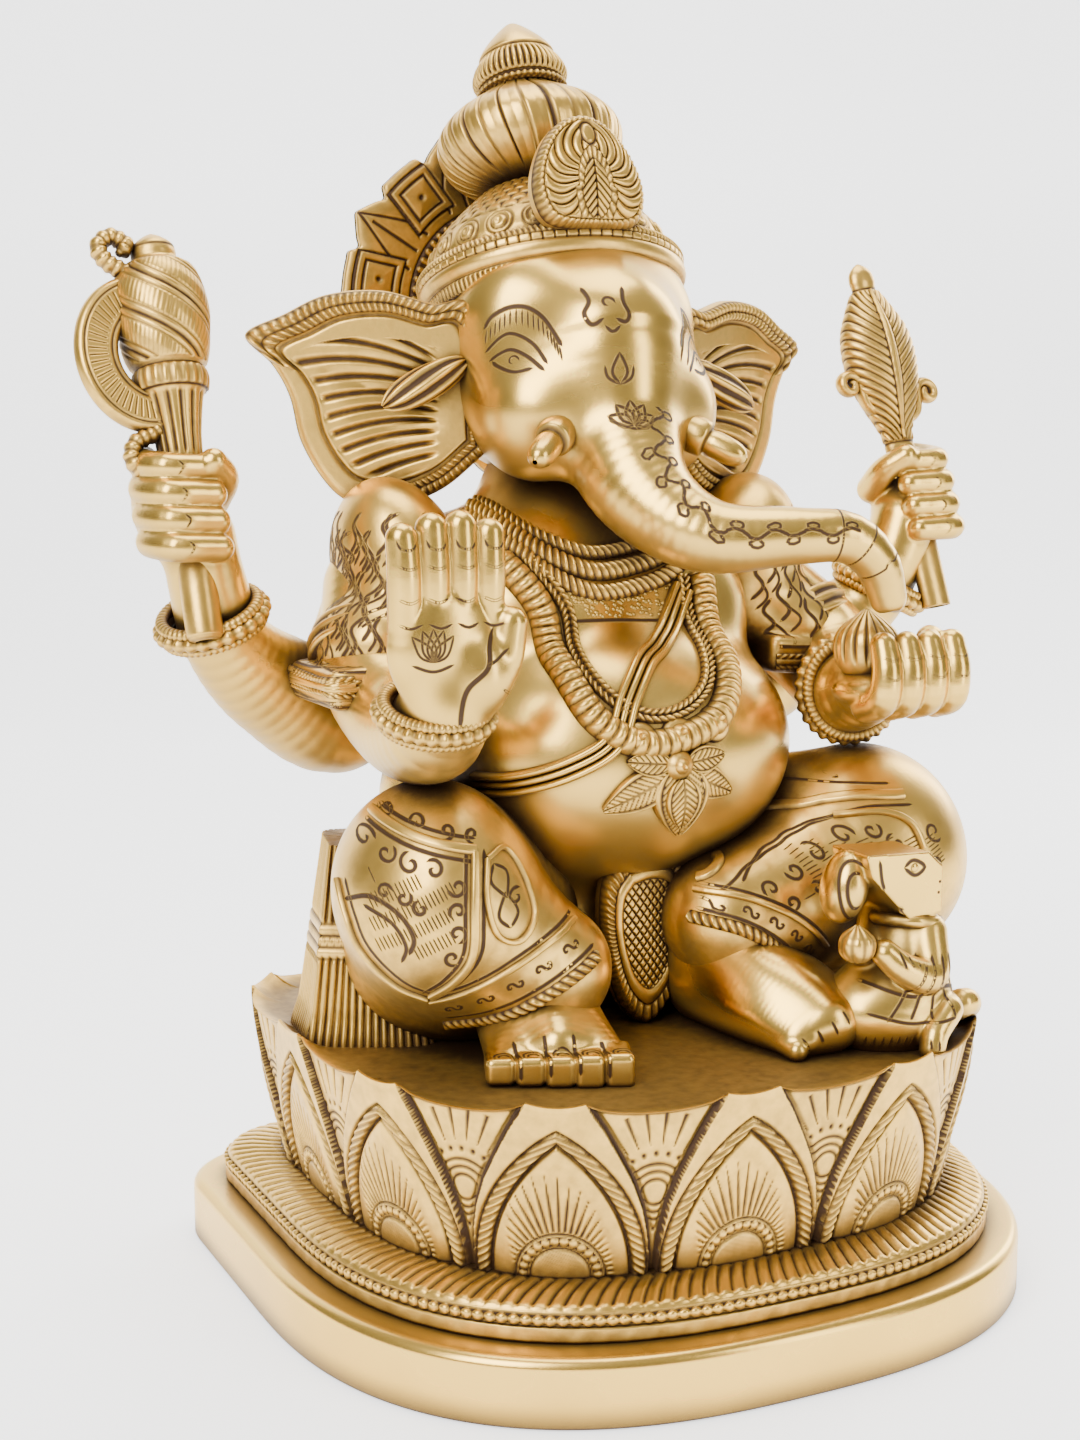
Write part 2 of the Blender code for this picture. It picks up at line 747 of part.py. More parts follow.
def build_shawl(bm, side):
    turn = Matrix.Rotation(math.radians(side * -18.0), 3, "Y")
    add_ball(bm, (side * 46, 33, 168), (15.5, 20, 24), turn, segments=16, rings=10)
    add_ball(bm, (side * 56, 25, 153), (14.5, 16, 13), segments=16, rings=10)


def build_mouse(bm):
    """Robed body, square muzzle, round ear, a forearm and a foot."""
    add_limb(bm, [(48, -43, 90), (47.5, -43, 80), (46.5, -42, 71)], [6.3, 10.0, 13.2])
    add_ball(bm, (42, -42, 72), (15.0, 12, 10))
    face = [(31.5, 108.2), (48.6, 107.6), (52.4, 104.2), (52.4, 93.2), (43.5, 92.4), (33.0, 103.0)]
    frame = Matrix(((1, 0, 0, 0), (0, 0, -1, -43.5), (0, 1, 0, 0), (0, 0, 0, 1)))
    add_slab(bm, face, frame, 14.4)
    add_ball(bm, (31.0, -42.5, 99.8), (5.2, 6.0, 8.6))
    add_limb(bm, [(50, -48, 88), (47.5, -53, 80), (40, -54, 82), (35.5, -52.5, 86)], [5, 4.4, 3.6, 3.2])
    add_limb(bm, [(58, -42, 66), (63, -46, 69.5), (67, -42, 67), (68, -36, 65)], [4, 3.4, 3.0, 2.6])


def build_sweet(bm):
    add_ball(bm, (29, -51, 88.5), (4.2, 3.8, 4.0), segments=12, rings=8)


def bracelet(name, material, centre, axis, radius, half_width, half_height):
    shape(name, material, lambda bm: add_hoop(bm, centre, axis, radius, half_width, half_height))


def main():
    clear_scene()
    fancy, plain = "engraved_brass", "polished_brass"
    shape("base_plate", plain, build_plate, fit=False)
    shape("moulding_tier", fancy, build_moulding, fit=False)
    shape("lotus_pedestal", fancy, build_lotus, fit=False)
    shape("torso", plain, build_torso, (2.5, 760), core=build_core)
    shape("head", plain, build_head, (1.8, 900))
    pair("side_drape", fancy, build_drape)
    pair("leg", fancy, build_leg, (2.2, 400))
    pair("shawl", fancy, build_shawl, (1.8, 260))
    shape("mace", fancy, build_mace)
    shape("axe_crescent", fancy, build_axe, (0.9, 320))
    shape("leaf_bud", fancy, build_leaf_bud, (1.2, 360))
    shape("right_front_arm", plain, lambda bm: build_palm_arm(bm, -1.0), (1.3, 600))
    shape("left_front_arm", plain, lambda bm: build_bowl_arm(bm, 1.0), (1.3, 520))
    pair("rear_arm", plain, build_rear_arm, (1.8, 320))
    pair("foot", plain, build_foot)
    shape("front_pleat", fancy, build_pleat)
    pair("ear", fancy, build_ear)
    shape("crown_dome", fancy, build_dome)
    shape("crown_band", fancy, build_band)
    shape("crown_bun", fancy, build_bun)
    shape("crown_finial", fancy, build_finial)
    shape("crown_plaque", fancy, build_plaque)
    shape("halo_rosette", fancy, build_halo)
    pair("ear_leaf", fancy, build_ear_leaf)
    pair("tusk", plain, build_tusk)
    body = ("torso",)
    thread = [(13, 165), (5, 156.5), (-6, 149), (-13, 141)]
    thread += [(-18, 133), (-26, 127.5), (-36, 123.5), (-42, 122.5)]
    shape("sacred_thread", plain, build_draped(thread, 2.6, 2.0, body), (0.9, 200))
    necklace = [(-28, 172), (-22, 161), (-22, 149), (-18.5, 139.5), (-10.5, 135)]
    necklace += [(-0.5, 136), (9, 140.5), (14.5, 149), (15.5, 159), (17, 168)]
    shape("necklace", fancy, build_draped(necklace, 5.0, 4.2, body, 0.4), (1.2, 460))
    choker = [(-25, 182), (-22, 177), (-17, 172.5), (-10, 169.5), (-2, 169), (6, 171), (12, 175), (16, 181)]
    shape("choker", fancy, build_draped(choker, 3.6, 3.2, body), (1.1, 260))
    shape("pendant", fancy, build_pendant, (1.0, 200))
    bracelet("right_rear_bracelet", fancy, (-91.5, 37.5, 159), (-0.35, -0.25, 0.9), 11.6, 2.6, 3.4)
    bracelet("left_rear_bracelet", fancy, (95, 37.5, 160), (0.4, -0.2, 0.9), 11.4, 2.6, 3.4)
    bracelet("right_front_bracelet", fancy, (-59.8, -19.5, 142.2), (-0.05, -0.34, 0.94), 11.4, 2.4, 3.2)
    bracelet("left_front_bracelet", fancy, (57, -5, 139.3), (-0.2, -0.97, 0.05), 11.8, 2.6, 3.2)
    shape("modak", fancy, lambda bm: add_ball(bm, (50, -22, 152), (7.6, 7.6, 8), segments=16, rings=10))
    shape("mouse_sweet", fancy, build_sweet)
    shape("mouse", plain, build_mouse, (1.4, 420))
    for mesh in WHOLE.values():
        bpy.data.meshes.remove(mesh)


main()
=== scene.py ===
"""Looks of the seated elephant-headed statuette: cast brass, chased and polished, dark in the recesses with
patination and with painted shade.

The shapes are worked out in millimetres in the row's frame: +Z up, the figure faces -Y, +X is its own left.
"""

import json
import math

import bpy
import numpy as np
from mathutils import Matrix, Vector
from mathutils.bvhtree import BVHTree

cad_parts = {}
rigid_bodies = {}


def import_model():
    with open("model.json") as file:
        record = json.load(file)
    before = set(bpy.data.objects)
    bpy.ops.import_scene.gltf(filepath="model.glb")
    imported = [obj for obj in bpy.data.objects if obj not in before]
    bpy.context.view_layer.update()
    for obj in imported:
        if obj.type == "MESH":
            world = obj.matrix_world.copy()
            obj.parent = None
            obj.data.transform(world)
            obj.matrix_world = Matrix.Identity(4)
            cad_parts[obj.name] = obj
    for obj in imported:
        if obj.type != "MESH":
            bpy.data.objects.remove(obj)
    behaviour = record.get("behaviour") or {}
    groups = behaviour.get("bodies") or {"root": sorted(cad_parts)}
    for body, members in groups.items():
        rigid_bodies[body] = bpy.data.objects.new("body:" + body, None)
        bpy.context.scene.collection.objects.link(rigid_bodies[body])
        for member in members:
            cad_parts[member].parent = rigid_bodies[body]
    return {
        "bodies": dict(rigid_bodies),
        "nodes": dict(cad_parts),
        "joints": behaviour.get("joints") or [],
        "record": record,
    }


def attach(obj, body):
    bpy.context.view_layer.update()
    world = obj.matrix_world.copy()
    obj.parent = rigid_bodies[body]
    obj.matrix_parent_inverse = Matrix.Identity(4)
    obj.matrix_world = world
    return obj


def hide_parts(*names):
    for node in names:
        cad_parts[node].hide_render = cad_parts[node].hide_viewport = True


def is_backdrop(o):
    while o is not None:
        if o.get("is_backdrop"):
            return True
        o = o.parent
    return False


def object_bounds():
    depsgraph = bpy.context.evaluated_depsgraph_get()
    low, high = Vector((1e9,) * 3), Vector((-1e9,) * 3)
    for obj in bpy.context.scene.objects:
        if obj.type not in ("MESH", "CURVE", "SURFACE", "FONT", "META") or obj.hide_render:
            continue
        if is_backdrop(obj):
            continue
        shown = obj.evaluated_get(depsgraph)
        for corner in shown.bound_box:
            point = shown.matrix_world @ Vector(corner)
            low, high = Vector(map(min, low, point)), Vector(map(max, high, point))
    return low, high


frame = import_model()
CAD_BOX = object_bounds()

MM = 0.001
TAU = 2.0 * math.pi
GRAIN = 1.0

# ------------------------------------------------------------------ brass


def node(tree, kind, **values):
    made = tree.nodes.new(kind)
    for key, value in values.items():
        setattr(made, key, value)
    return made


def brass(name, pale, dark, rough_low, rough_high, hatch=0.0, mottle=0.3):
    """Polished brass, patinated brown where the attribute 'groove' is high; painted shade, also standing for
    patination there, darkens it where the surface is boxed in and where it faces down.
    """
    made = bpy.data.materials.new(name)
    made.use_nodes = True
    tree = made.node_tree
    shader = tree.nodes["Principled BSDF"]
    link = tree.links.new
    groove = node(tree, "ShaderNodeAttribute", attribute_name="groove")
    place = node(tree, "ShaderNodeTexCoord")
    cloud = node(tree, "ShaderNodeTexNoise")
    cloud.inputs["Scale"].default_value = 26.0
    cloud.inputs["Detail"].default_value = 4.0
    link(place.outputs["Object"], cloud.inputs["Vector"])
    speck = node(tree, "ShaderNodeTexNoise")
    speck.inputs["Scale"].default_value = 900.0
    speck.inputs["Detail"].default_value = 3.0
    link(place.outputs["Object"], speck.inputs["Vector"])
    # Painted shade: ambient occlusion darkens the colour in crevices and boxed-in spots; it stands also for
    # the brown patination there.
    shade = node(tree, "ShaderNodeAmbientOcclusion", samples=6)
    shade.inputs["Distance"].default_value = 0.010
    boxed = node(tree, "ShaderNodeMapRange")
    boxed.inputs["From Min"].default_value = 0.88
    boxed.inputs["From Max"].default_value = 0.30
    boxed.inputs["To Max"].default_value = 1.0
    link(shade.outputs["AO"], boxed.inputs["Value"])
    # Painted shade: surfaces that face down are darkened in the colour, also standing for the patination
    # under them.
    facing = node(tree, "ShaderNodeNewGeometry")
    parts = node(tree, "ShaderNodeSeparateXYZ")
    link(facing.outputs["Normal"], parts.inputs[0])
    under = node(tree, "ShaderNodeMapRange")
    under.inputs["From Min"].default_value = 0.15
    under.inputs["From Max"].default_value = -0.9
    under.inputs["To Max"].default_value = 0.5
    link(parts.outputs["Z"], under.inputs["Value"])
    kept = node(tree, "ShaderNodeMath", operation="MAXIMUM")
    link(groove.outputs["Fac"], kept.inputs[0])
    link(boxed.outputs["Result"], kept.inputs[1])
    both = node(tree, "ShaderNodeMath", operation="MAXIMUM")
    link(kept.outputs[0], both.inputs[0])
    link(under.outputs["Result"], both.inputs[1])
    uneven = node(tree, "ShaderNodeMath", operation="MULTIPLY_ADD")
    uneven.inputs[1].default_value = mottle
    uneven.inputs[2].default_value = -0.42 * mottle
    link(cloud.outputs["Fac"], uneven.inputs[0])
    grains = node(tree, "ShaderNodeTexNoise")
    grains.inputs["Scale"].default_value = 340.0
    grains.inputs["Detail"].default_value = 5.0
    link(place.outputs["Object"], grains.inputs["Vector"])
    grained = node(tree, "ShaderNodeMath", operation="MULTIPLY_ADD")
    grained.inputs[1].default_value = 2.2 * hatch
    grained.inputs[2].default_value = -1.1 * hatch
    link(grains.outputs["Fac"], grained.inputs[0])
    stained = node(tree, "ShaderNodeMath", operation="ADD")
    link(uneven.outputs[0], stained.inputs[0])
    link(grained.outputs[0], stained.inputs[1])
    # Groove patination, painted shade, mottling and grain added up; this drives the colour ramp, roughness
    # and metallic.
    patina_and_painted_shade = node(tree, "ShaderNodeMath", operation="ADD", use_clamp=True)
    link(both.outputs[0], patina_and_painted_shade.inputs[0])
    link(stained.outputs[0], patina_and_painted_shade.inputs[1])
    ramp = node(tree, "ShaderNodeValToRGB")
    ramp.color_ramp.elements[0].position = 0.08
    ramp.color_ramp.elements[0].color = (*pale, 1.0)
    ramp.color_ramp.elements[1].position = 0.95
    ramp.color_ramp.elements[1].color = (*dark, 1.0)
    middle = ramp.color_ramp.elements.new(0.45)
    middle.color = (*[0.45 * a + 0.55 * b for a, b in zip(pale, dark)], 1.0)
    link(patina_and_painted_shade.outputs[0], ramp.inputs["Fac"])
    link(ramp.outputs["Color"], shader.inputs["Base Color"])
    rough = node(tree, "ShaderNodeMapRange")
    rough.inputs["To Min"].default_value = rough_low
    rough.inputs["To Max"].default_value = rough_high
    link(patina_and_painted_shade.outputs[0], rough.inputs["Value"])
    link(rough.outputs["Result"], shader.inputs["Roughness"])
    metal = node(tree, "ShaderNodeMapRange")
    metal.inputs["To Min"].default_value = 1.0
    metal.inputs["To Max"].default_value = 0.55
    link(patina_and_painted_shade.outputs[0], metal.inputs["Value"])
    link(metal.outputs["Result"], shader.inputs["Metallic"])
    bump = node(tree, "ShaderNodeBump")
    bump.inputs["Strength"].default_value = 0.12 + hatch
    bump.inputs["Distance"].default_value = 0.00012
    link(speck.outputs["Fac"], bump.inputs["Height"])
    link(bump.outputs["Normal"], shader.inputs["Normal"])
    return made


PALE = (0.90, 0.565, 0.115)
# DARK is the brown of patination and of the painted shade in recesses and on undersides.
DARK = (0.050, 0.022, 0.006)
POLISHED = brass("polished_brass", PALE, DARK, 0.25, 0.55)
ENGRAVED = brass("engraved_brass", (0.85, 0.52, 0.105), DARK, 0.31, 0.6, 0.2, 0.34)
SLOTS = {"polished_brass": POLISHED, "engraved_brass": ENGRAVED}

# ------------------------------------------------------------------ vectors and curves


def arr(*values):
    return np.array(values, float)


def unit(v):
    return v / np.maximum(np.linalg.norm(v, axis=-1, keepdims=True), 1e-9)


def curve(points, count):
    """Catmull-Rom through the points, count samples evenly spaced by length."""
    p = np.array(points, float)
    if len(p) < 3:
        fine = p[0] + (p[-1] - p[0]) * np.linspace(0, 1, 40)[:, None]
    else:
        ext = np.vstack([2 * p[0] - p[1], p, 2 * p[-1] - p[-2]])
        t = np.linspace(0, 1, 14, endpoint=False)[:, None]
        rows = []
        for a, b, c, d in zip(ext, ext[1:], ext[2:], ext[3:]):
            rows.append(
                0.5 * (
                    2 * b + (c - a) * t + (2 * a - 5 * b + 4 * c - d) * t**2 + (3 * b - a - 3 * c + d) * t**3
                )
            )
        fine = np.vstack(rows + [p[-1:]])
    return spaced(fine, count)


def spaced(fine, count):
    steps = np.concatenate([[0], np.cumsum(np.linalg.norm(np.diff(fine, axis=0), axis=1))])
    wanted = np.linspace(0, steps[-1], count)
    return np.stack([np.interp(wanted, steps, fine[:, k]) for k in range(fine.shape[1])], axis=1)


def length(path):
    return float(np.linalg.norm(np.diff(path, axis=0), axis=1).sum())


def smoothstep(x, low, high):
    t = np.clip((x - low) / (high - low), 0, 1)
    return t * t * (3 - 2 * t)


# ------------------------------------------------------------------ pieces


class Piece:
    """Gathers surfaces in millimetres, then makes one object that stands for its CAD node."""

    def __init__(self, name, slot="engraved_brass"):
        self.name, self.slot = name, slot
        self.points, self.quads, self.grooves, self.count = [], [], [], 0

    def add(self, points, quads, groove=0.0):
        points = np.asarray(points, float).reshape(-1, 3)
        self.points.append(points)
        self.quads.append(np.asarray(quads, np.int64) + self.count)
        self.grooves.append(
            np.broadcast_to(
                np.asarray(groove, float).reshape(-1) if np.ndim(groove) else float(groove),
                (len(points),)
            )
        )
        self.count += len(points)

    def grid(self, points, groove=0.0, wrap_u=False, wrap_v=False, flip=False):
        """points has shape (nu, nv, 3)."""
        nu, nv = points.shape[:2]
        u = np.arange(nu if wrap_u else nu - 1)
        v = np.arange(nv if wrap_v else nv - 1)
        uu, vv = np.meshgrid(u, v, indexing="ij")
        a = uu * nv + vv
        b = ((uu + 1) % nu) * nv + vv
        c = ((uu + 1) % nu) * nv + (vv + 1) % nv
        d = uu * nv + (vv + 1) % nv
        quads = np.stack([a, b, c, d], axis=-1).reshape(-1, 4)
        self.add(points, quads[:, ::-1] if flip else quads, groove)

    def make(self):
        points = np.concatenate(self.points) * MM
        quads = np.concatenate(self.quads)
        mesh = bpy.data.meshes.new(self.name)
        mesh.vertices.add(len(points))
        mesh.vertices.foreach_set("co", points.astype(np.float32).ravel())
        mesh.loops.add(quads.size)
        mesh.loops.foreach_set("vertex_index", quads.astype(np.int32).ravel())
        mesh.polygons.add(len(quads))
        mesh.polygons.foreach_set("loop_start", np.arange(0, quads.size, 4, dtype=np.int32))
        mesh.update(calc_edges=True)
        mesh.validate()
        values = mesh.attributes.new("groove", "FLOAT", "POINT")
        values.data.foreach_set("value", np.concatenate(self.grooves).astype(np.float32))
        mesh.shade_smooth()
        mesh.materials.append(SLOTS[self.slot])
        made = bpy.data.objects.new(self.name, mesh)
        bpy.context.scene.collection.objects.link(made)
        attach(made, "root")
        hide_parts(self.name_of_node())
        return made

    def name_of_node(self):
        return self.name[4:] if self.name.startswith("vis_") else self.name


def piece(node_name, slot="engraved_brass"):
    return Piece("vis_" + node_name, slot)


def grid_normals(p, wrap_u=False, wrap_v=False):
    def diff(axis, wrap):
        if wrap:
            return np.roll(p, -1, axis) - np.roll(p, 1, axis)
        return np.gradient(p, axis=axis)

    return unit(np.cross(diff(0, wrap_u), diff(1, wrap_v)))


# ------------------------------------------------------------------ relief profiles
# Each takes u across, -1 to 1, and s along in mm, and gives height and groove.


def rope(pitch, high, slant=0.45):
    def profile(u, s):
        wave = 0.5 + 0.5 * np.cos(TAU * (s / pitch + slant * u))
        dome = np.sqrt(np.clip(1 - u * u, 0, 1))
        return high * dome * (0.55 + 0.45 * wave), np.clip(1.15 - 1.5 * wave * dome - 0.25 * dome, 0, 1)

    return profile


def ridge(high, flat=0.5):
    def profile(u, s):
        dome = np.clip(1 - (np.abs(u)) ** (2 + 4 * flat), 0, 1) ** 0.5
        return high * dome, smoothstep(np.abs(u), 0.82, 1.0)

    return profile


def engraved(high=0.12):
    """A cut line: two burrs with a dark floor between them. The line is not sunk into the surface, so the
    dark floor is painted shade of the cut as well as patination in it.
    """

    def profile(u, s):
        burr = np.exp(-(((np.abs(u) - 0.78) / 0.16) ** 2))
        return high * burr + 0.02, np.clip(1.5 - 1.5 * np.abs(u) ** 1.5, 0, 1)

    return profile


def rows(*parts):
    """Several bands side by side: (share of the width, profile)."""
    total = sum(share for share, _ in parts)

    def profile(u, s):
        h, g = np.zeros_like(u), np.zeros_like(u)
        low = -1.0
        for share, inner in parts:
            wide = 2.0 * share / total
            local = 2 * (u - low) / wide - 1
            hit = (local >= -1.0001) & (local <= 1.0001)
            ih, ig = inner(np.clip(local, -1, 1), s)
            h, g = np.where(hit, ih, h), np.where(hit, ig, g)
            low += wide
        return h, g

    return profile


def strip(body, path, normals, half, profile, step=0.3, across=9, taper=0.0, sink=0.15, closed=False):
    """Lays a relief band along a path on a surface."""
    total = length(path)
    count = max(4, int(total / (step * GRAIN)) + 1)
    joined = spaced(np.hstack([path, normals]), count) if total > 1e-6 else None
    if joined is None:
        return
    p, n = joined[:, :3], unit(joined[:, 3:])
    if closed:
        tangent = unit(np.roll(p, -1, 0) - np.roll(p, 1, 0))
    else:
        tangent = unit(np.gradient(p, axis=0))
    side = unit(np.cross(n, tangent))
    u = np.linspace(-1, 1, across)[None, :]
    s = np.linspace(0, total, count)[:, None]
    uu, ss = np.broadcast_arrays(u, s)
    h, g = profile(uu, ss)
    size = np.ones((count, 1))
    if taper > 0:
        size = np.minimum(1, np.minimum(s, total - s) / taper + 0.12)
    rim = np.abs(uu) > 0.999
    h = np.where(rim, -sink, h * size)
    where = p[:, None, :] + side[:, None, :] * (half * uu * size)[..., None] + n[:, None, :] * h[..., None]
    body.grid(where, g, flip=True)


# ------------------------------------------------------------------ solid shapes as distance fields


def bounded(field, centre, reach):
    """Notes the sphere that holds a shape, so that far points can skip it."""
    field.centre, field.reach = np.array(centre, float), float(reach)
    return field


def ball(centre, radii, turn=None):
    c, r = np.array(centre, float), np.array(radii, float)

    def field(p):
        q = p - c
        if turn is not None:
            q = q @ turn
        k0 = np.linalg.norm(q / r, axis=-1)
        k1 = np.linalg.norm(q / (r * r), axis=-1)
        return k0 * (k0 - 1.0) / np.maximum(k1, 1e-9)

    return bounded(field, c, r.max())


def limb(points, radii, smooth=6):
    """A tube of changing radius along a smooth path."""
    data = curve([(*p, r) for p, r in zip(points, radii)], max(2, smooth * (len(points) - 1)) + 1)
    a, b = data[:-1], data[1:]

    def field(p):
        best = np.full(p.shape[:-1], 1e9)
        for start, end in zip(a, b):
            along = end[:3] - start[:3]
            q = p - start[:3]
            t = np.clip((q @ along) / max(along @ along, 1e-9), 0, 1)
            d = np.linalg.norm(q - t[..., None] * along, axis=-1) - (start[3] + (end[3] - start[3]) * t)
            best = np.minimum(best, d)
        return best

    middle = 0.5 * (data[:, :3].min(0) + data[:, :3].max(0))
    return bounded(field, middle, (np.linalg.norm(data[:, :3] - middle, axis=1) + data[:, 3]).max())


def brick(centre, half, turn=None, round_by=1.0):
    c, h = np.array(centre, float), np.array(half, float) - round_by

    def field(p):
        q = p - c
        if turn is not None:
            q = q @ turn
        d = np.abs(q) - h
        return np.linalg.norm(np.maximum(d, 0), axis=-1) + np.minimum(d.max(axis=-1), 0) - round_by

    return field


def blend(a, b, k):
    h = np.clip(0.5 + 0.5 * (b - a) / k, 0, 1)
    return b * (1 - h) + a * h - k * h * (1 - h)


def union(*parts):
    """(field, k) pairs melted together."""

    def field(p):
        flat = p.reshape(-1, 3)
        d = parts[0][0](flat)
        for inner, k in parts[1:]:
            near = slice(None)
            if hasattr(inner, "reach"):
                near = np.linalg.norm(flat - inner.centre, axis=1) - inner.reach < d + k
            if hasattr(inner, "reach") and not near.any():
                continue
            e = inner(flat[near])
            d[near] = blend(d[near], e, k) if k > 0 else np.minimum(d[near], e)
        return d.reshape(p.shape[:-1])

    return field


def carve(base, *cuts):
    def field(p):
        d = base(p)
        for inner, k in cuts:
            d = -blend(-d, inner(p), k)
        return d

    return field


def above(base, z):
    return lambda p: np.maximum(base(p), z - p[..., 2])


def rot(axis, degrees):
    t = math.radians(degrees)
    c, s = math.cos(t), math.sin(t)
    i, j = [(1, 2), (2, 0), (0, 1)]["xyz".index(axis)]
    m = np.eye(3)
    m[i, i] = m[j, j] = c
    m[i, j], m[j, i] = -s, s
    return m


def gradient(field, p, e=0.05):
    out = np.empty_like(p)
    for k in range(3):
        d = np.zeros(3)
        d[k] = e
        out[:, k] = field(p + d) - field(p - d)
    return out / (2 * e)


def polygonise(field, low, high, step):
    """Surface nets over the part of the box near the surface."""
    step = step * GRAIN
    block = 10
    low = np.array(low, float) - step
    shape = np.ceil((np.array(high, float) + step - low) / step / block).astype(int) * block
    values = np.empty(shape, np.float32)
    blocks = shape // block
    index = np.stack(np.meshgrid(*[np.arange(n) for n in blocks], indexing="ij"), -1).reshape(-1, 3)
    centres = low + (index * block + (block - 1) / 2) * step
    c = field(centres)
    near = np.abs(c) < step * block * 0.95 + 1.5
    coarse = np.where(near, 0, np.sign(c) * 50.0).reshape(blocks)
    values[:] = np.repeat(np.repeat(np.repeat(coarse, block, 0), block, 1), block, 2)
    local = np.stack(np.meshgrid(*[np.arange(block)] * 3, indexing="ij"), -1).reshape(-1, 3)
    todo = index[near]
    for start in range(0, len(todo), 400):
        part = todo[start : start + 400]
        spots = (part[:, None, :] * block + local[None]).reshape(-1, 3)
        values[spots[:, 0], spots[:, 1], spots[:, 2]] = field(low + spots * step)
    inside = values < 0
    corners = [(i, j, k) for i in (0, 1) for j in (0, 1) for k in (0, 1)]
    end = [s - 1 for s in shape]

    def shifted(a, o):
        return a[o[0] : o[0] + end[0], o[1] : o[1] + end[1], o[2] : o[2] + end[2]]

    some = np.zeros(end, bool)
    every = np.ones(end, bool)
    for o in corners:
        part = shifted(inside, o)
        some |= part
        every &= part
    cells = np.argwhere(some & ~every)
    ids = np.full(end, -1, np.int32)
    ids[cells[:, 0], cells[:, 1], cells[:, 2]] = np.arange(len(cells))
    at = {o: values[cells[:, 0] + o[0], cells[:, 1] + o[1], cells[:, 2] + o[2]] for o in corners}
    total, hits = np.zeros((len(cells), 3)), np.zeros(len(cells))
    for o in corners:
        for axis in range(3):
            if o[axis]:
                continue
            q = tuple(o[k] + (k == axis) for k in range(3))
            a, b = at[o], at[q]
            cross = (a < 0) != (b < 0)
            t = np.where(cross, a / np.where(cross, a - b, 1), 0)
            spot = np.array(o, float)[None] + t[:, None] * np.eye(3)[axis]
            total += np.where(cross[:, None], spot, 0)
            hits += cross
    points = low + (cells + total / hits[:, None]) * step
    quads = []
    for axis in range(3):
        i, j = (axis + 1) % 3, (axis + 2) % 3
        lo_slice = [slice(0, s) for s in shape]
        hi_slice = [slice(0, s) for s in shape]
        lo_slice[axis], hi_slice[axis] = slice(0, shape[axis] - 1), slice(1, shape[axis])
        a, b = inside[tuple(lo_slice)], inside[tuple(hi_slice)]
        spots = np.argwhere(a != b)
        spots = spots[
            (spots[:, i] > 0) & (spots[:, j] > 0)
            & (spots[:, i] < shape[i] - 1) & (spots[:, j] < shape[j] - 1)
        ]
        out = a[spots[:, 0], spots[:, 1], spots[:, 2]]
        around = []
        for di, dj in ((1, 1), (0, 1), (0, 0), (1, 0)):
            q = spots.copy()
            q[:, i] -= di
            q[:, j] -= dj
            around.append(ids[q[:, 0], q[:, 1], q[:, 2]])
        quad = np.stack(around, 1)
        quads.append(np.where(out[:, None], quad, quad[:, ::-1]))
    for _ in range(2):
        g = gradient(field, points)
        points = points - g * (field(points) / np.maximum((g * g).sum(1), 0.2))[:, None]
    return points, np.concatenate(quads)


TREES = {}


def shoot(field, origin, direction, far=200.0):
    """The first surface points met from the origins along the directions, with their outward normals."""
    origin = np.atleast_2d(np.array(origin, float))
    direction = unit(np.broadcast_to(np.array(direction, float), origin.shape))
    tree = TREES.get(field)
    if tree is not None:
        hits = [tree.ray_cast(Vector(o), Vector(d), far) for o, d in zip(origin, direction)]
        found = np.array([h[0] is not None for h in hits])
        p = np.array(
            [h[0] if h[0] is not None else o for h, o in zip(hits, origin)], float
        ).reshape(-1, 3)
        return p, unit(gradient(field, p)), found
    t = np.zeros(len(origin))
    for _ in range(70):
        t = np.minimum(t + field(origin + direction * t[:, None]) * 0.85, far)
    p = origin + direction * t[:, None]
    return p, unit(gradient(field, p)), t < far - 1


LINE_GAIN = 1.35  # how much wider every cut line is than its nominal half width


